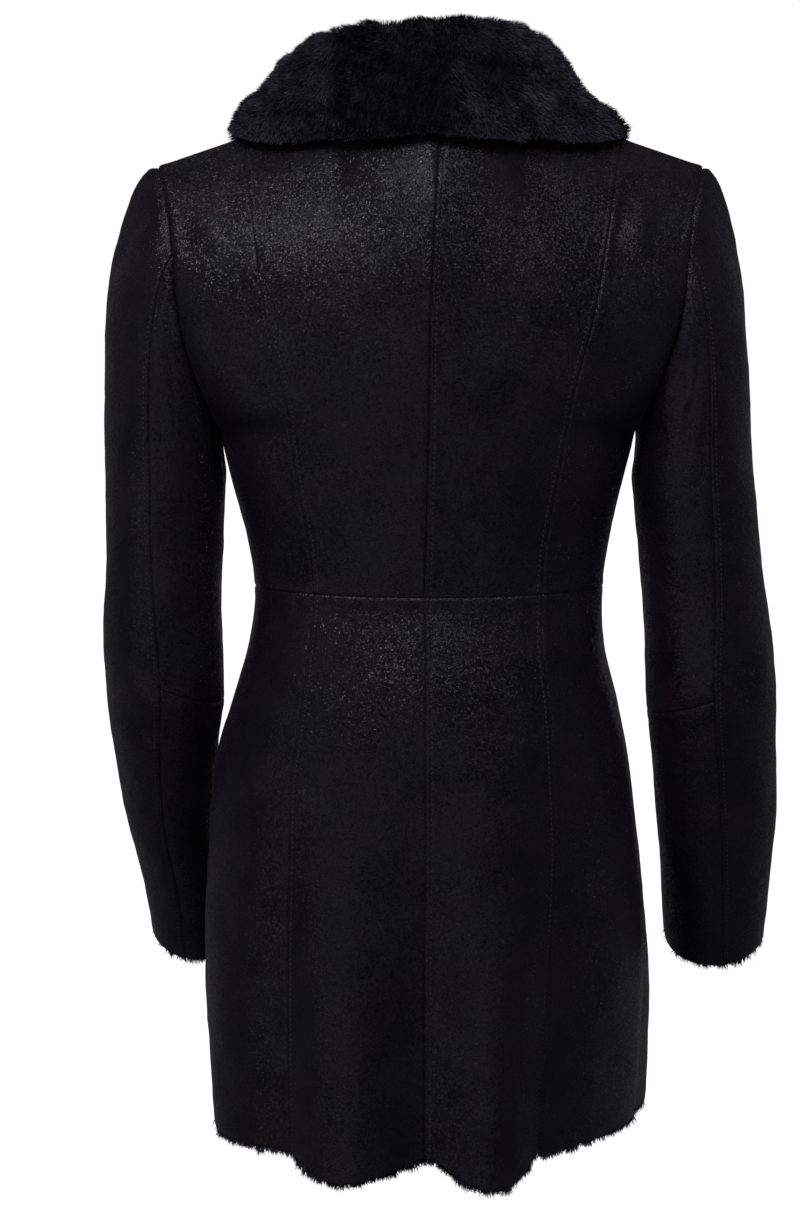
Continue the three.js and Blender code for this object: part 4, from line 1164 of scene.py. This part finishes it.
def make_collar():
    signed = np.linspace(-LAPEL_END, LAPEL_END, COLLAR_STATIONS)
    shares = np.linspace(0.02, 1, COLLAR_ROWS)
    middle = np.array([collar_line(-1 if k < 0 else 1, abs(k), shares) for k in signed])
    middle[..., 0] += COLLAR_LEAN["by"] * lean_share(middle)
    down = unit(np.gradient(middle, axis=1))
    sideways = unit(np.gradient(middle, axis=0))
    normals = unit(np.cross(sideways, down))
    thick = np.interp(shares, COLLAR_THICK["share"], COLLAR_THICK["thick"])[:, None]
    lumps = layered(middle, COLLAR_LUMPS)
    fade = smooth(shares, 0.15, 0.35) * (1 - 0.6 * smooth(shares, 0.9, 1))
    room = PILE_HEIGHT * smooth(shares, 0, 0.2)[:, None]
    base = middle + normals * (thick / 2 - room + (lumps * fade)[..., None])
    under = middle - normals * thick / 2
    points, faces = shell(base, under)
    numbers = np.concatenate([np.zeros(len(faces[0])), np.ones(len(faces[1])), np.zeros(len(faces[2]))])
    obj = new_object("collar_base", points, faces, [PILE, SUEDE], numbers)
    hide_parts("collar")
    long_way = lengths(np.swapaxes(middle, 0, 1)).max()
    across = lengths(middle).max()
    tufts = make_tufts(base, normals, down, sideways, signed)


def make_tufts(base, normals, down, sideways, signed):
    """Tufts of pile all over the collar's fur side, leaning down it in soft clumps."""
    chance = np.random.default_rng(SEED + 7)
    cell = np.cross(base[:-1, 1:] - base[:-1, :-1], base[1:, :-1] - base[:-1, :-1])
    area = np.linalg.norm(cell, axis=-1)
    shares = np.linspace(0, 1, area.shape[1])
    weight = area * mix(0.35, 1, smooth(shares, 0.05, 0.4))
    picked = chance.choice(area.size, TUFTS["count"], p=(weight / weight.sum()).ravel())
    row, column = np.unravel_index(picked, area.shape)
    a, b = chance.uniform(size=(2, len(row), 1))

    def at(grid):
        low = mix(grid[row, column], grid[row, column + 1], b)
        return mix(low, mix(grid[row + 1, column], grid[row + 1, column + 1], b), a)

    roots, normal, fall, across = at(base), unit(at(normals)), unit(at(down)), unit(at(sideways))
    sway = 0.4 * waves(roots, 34, 41)[:, None]
    lift = (1 + 0.2 * waves(roots, 27, 42) + 0.12 * waves(roots, 11, 43))[:, None]
    fine = 0.2 * waves(roots, 9, 44)[:, None]
    ahead = normal * np.clip(lift, 0.5, 1.4) + fall * (0.45 - sway * 0.6) + across * (sway + fine)
    ahead = unit(ahead + chance.normal(size=ahead.shape) * 0.15)
    edge = smooth(column / area.shape[1], 0.93, 1)[:, None]
    ahead = unit(ahead + fall * edge * 0.8)
    long = chance.uniform(*TUFTS["long"], len(roots)) * np.clip(1 + 0.1 * waves(roots, 13, 45), 0.7, 1.3)
    near_neck = smooth(column / area.shape[1], 0, 0.25)
    long = long * mix(0.5, 1, near_neck)
    wide = TUFTS["wide"] * chance.uniform(0.7, 1.3, len(roots))
    bend = fall * 0.3 + chance.normal(size=ahead.shape) * 0.15
    third = np.digitize(signed[row], [-BACK_FUR_TO, BACK_FUR_TO])
    made = []
    for number, word in enumerate(("right", "back", "left")):
        chosen = third == number
        parts = (x[chosen] for x in (roots, ahead, long, wide, bend))
        made.append(blades(f"collar_fur_{word}", *parts, SEED + 10 + number))
    return made


# Buttons
BUTTON_SIDES = 48
BUTTON_PROFILE = table(
    "out up",
    (0, 0), (11.6, 0), (13.2, 0.7), (14, 2.2), (13.9, 3.4), (13.2, 4.6), (12.2, 5), (11.2, 4.9),
    (10.2, 4.2), (9, 3.9), (6, 3.8), (3.6, 3.8), (0, 3.8),
)


def make_buttons():
    for i in range(1, 5):
        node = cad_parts[f"button_{i}"]
        co = np.array([v.co for v in node.data.vertices])
        centre = co.mean(0)
        flat = np.linalg.svd(co - centre)[2][-1]
        flat = flat * (-1 if flat[1] > 0 else 1)
        make_button(i, centre / MM, flat, co / MM)


def make_button(i, centre, facing, co):
    seat = ((co - centre) @ facing).min()
    across = unit(np.cross(facing, (0, 0, 1)))
    upward = np.cross(across, facing)
    turn = np.arange(BUTTON_SIDES) * 2 * np.pi / BUTTON_SIDES
    rings = []
    for out, up in zip(BUTTON_PROFILE["out"][1:-1], BUTTON_PROFILE["up"][1:-1]):
        ring = across * (out * np.cos(turn))[:, None] + upward * (out * np.sin(turn))[:, None]
        rings.append(centre + ring + facing * (seat + up))
    poles = [centre + facing * (seat + BUTTON_PROFILE["up"][k]) for k in (0, -1)]
    points = np.concatenate([*rings, poles])
    number = np.arange(len(rings) * BUTTON_SIDES).reshape(len(rings), BUTTON_SIDES)
    onward = np.roll(number, -1, 1)
    walls = quads(number[:-1], onward[:-1], onward[1:], number[1:])
    bottom = np.stack([number[0], onward[0], number[0] * 0 + len(points) - 2], -1)[:, ::-1]
    top = np.stack([number[-1], onward[-1], number[0] * 0 + len(points) - 1], -1)
    obj = new_object(f"button_{i}_horn", points, [walls, bottom, top], [HORN])
    obj.data.set_sharp_from_angle(angle=math.radians(60))
    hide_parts(f"button_{i}")


for side in (1, -1):
    for panel in PANELS:
        bodice_sheet(panel, side)
        skirt_sheet(panel, side)
    sleeve_sheets(side)
make_stitches()
make_pile()
make_fringe()
make_collar()
make_buttons()

# Camera, at the photograph's angle. Pixels are those of the 800 x 1210 frame.
IMAGE_WIDTH, IMAGE_HEIGHT = 800, 1210
COAT_CENTRE_X, HORIZON_Y = 425, 400
PIXEL = 0.78  # millimetres for each pixel at the middle of the coat
DISTANCE = 2000
CAMERA_Z = -210
SENSOR = 36

camera = bpy.data.objects.new("camera", bpy.data.cameras.new("camera"))
bpy.context.scene.collection.objects.link(camera)
pitch = math.atan((IMAGE_HEIGHT / 2 - HORIZON_Y) * PIXEL / DISTANCE)
camera.location = Vector(((COAT_CENTRE_X - IMAGE_WIDTH / 2) * PIXEL, DISTANCE, CAMERA_Z)) * MM
camera.rotation_mode = "QUATERNION"
camera.rotation_quaternion = Vector((0, -math.cos(pitch), -math.sin(pitch))).to_track_quat("-Z", "Y")
camera.data.sensor_width = SENSOR
camera.data.lens = SENSOR * DISTANCE / math.cos(pitch) / (PIXEL * IMAGE_HEIGHT)
bpy.context.scene.camera = camera

# A pale floor at a wearer's feet, and a pale surround
FLOOR_Z = -1.42
FLOOR_HALF = 40
bpy.ops.mesh.primitive_plane_add(size=2 * FLOOR_HALF, location=(0, 0, FLOOR_Z))
floor = bpy.context.object
floor.name = "floor"
floor.visible_diffuse = False
floor.visible_glossy = False
paint = Material("floor_paint", Roughness=0.9, Specular_IOR_Level=0.1)
paint.shader.inputs["Base Color"].default_value = (0.9, 0.9, 0.9, 1)
floor.data.materials.append(paint.made)

world = bpy.data.worlds.new("surround")
bpy.context.scene.world = world
world.use_nodes = True
tree = world.node_tree
path = tree.nodes.new("ShaderNodeLightPath")
pale = tree.nodes.new("ShaderNodeBackground")
pale.inputs["Strength"].default_value = 1.0
pale.inputs["Color"].default_value = (1, 1, 1, 1)
dim = tree.nodes["Background"]
dim.inputs["Color"].default_value = (0.9, 0.93, 1, 1)
dim.inputs["Strength"].default_value = 0.1
either = tree.nodes.new("ShaderNodeMixShader")
tree.links.new(path.outputs["Is Camera Ray"], either.inputs[0])
tree.links.new(dim.outputs[0], either.inputs[1])
tree.links.new(pale.outputs[0], either.inputs[2])
tree.links.new(either.outputs[0], tree.nodes["World Output"].inputs["Surface"])
bpy.context.scene.view_settings.view_transform = "Standard"


def soft_light(name, place, target, size, power):
    data = bpy.data.lights.new(name, "AREA")
    data.shape = "RECTANGLE"
    data.size, data.size_y = size
    data.energy = power
    data.color = COOL
    light = bpy.data.objects.new(name, data)
    bpy.context.scene.collection.objects.link(light)
    light.location = place
    light.rotation_mode = "QUATERNION"
    light.rotation_quaternion = (Vector(target) - Vector(place)).to_track_quat("-Z", "Y")


COOL = (0.96, 0.93, 1.12)

# Each light in metres and watts: its place, what it faces, its size and its power
LIGHTS = {
    "key": ((0.6, 0.85, 1.0), (0, 0, -0.05), (0.3, 0.3), 4.8),
    "key_middle": ((-0.16, 1.0, 1.15), (0, 0, -0.05), (0.3, 0.3), 6),
    "low": ((0.2, 2.3, -1.1), (0, 0, -0.6), (1.2, 0.5), 2),
    "fill": ((1.7, 1.9, -0.4), (0, 0, -0.6), (0.9, 1.4), 3),
    "front_key": ((-0.05, -1.6, 0.9), (0, 0, -0.2), (0.3, 0.3), 12),
}
for light_name, (place, target, size, power) in LIGHTS.items():
    soft_light(light_name, place, target, size, power)

lamp = bpy.data.lights.new("floor_light", "SUN")
lamp.energy = 3.6
lamp.angle = math.radians(60)
floor_light = bpy.data.objects.new("floor_light", lamp)
bpy.context.scene.collection.objects.link(floor_light)
only_floor = bpy.data.collections.new("only_floor")
only_floor.objects.link(floor)
floor_light.light_linking.receiver_collection = only_floor
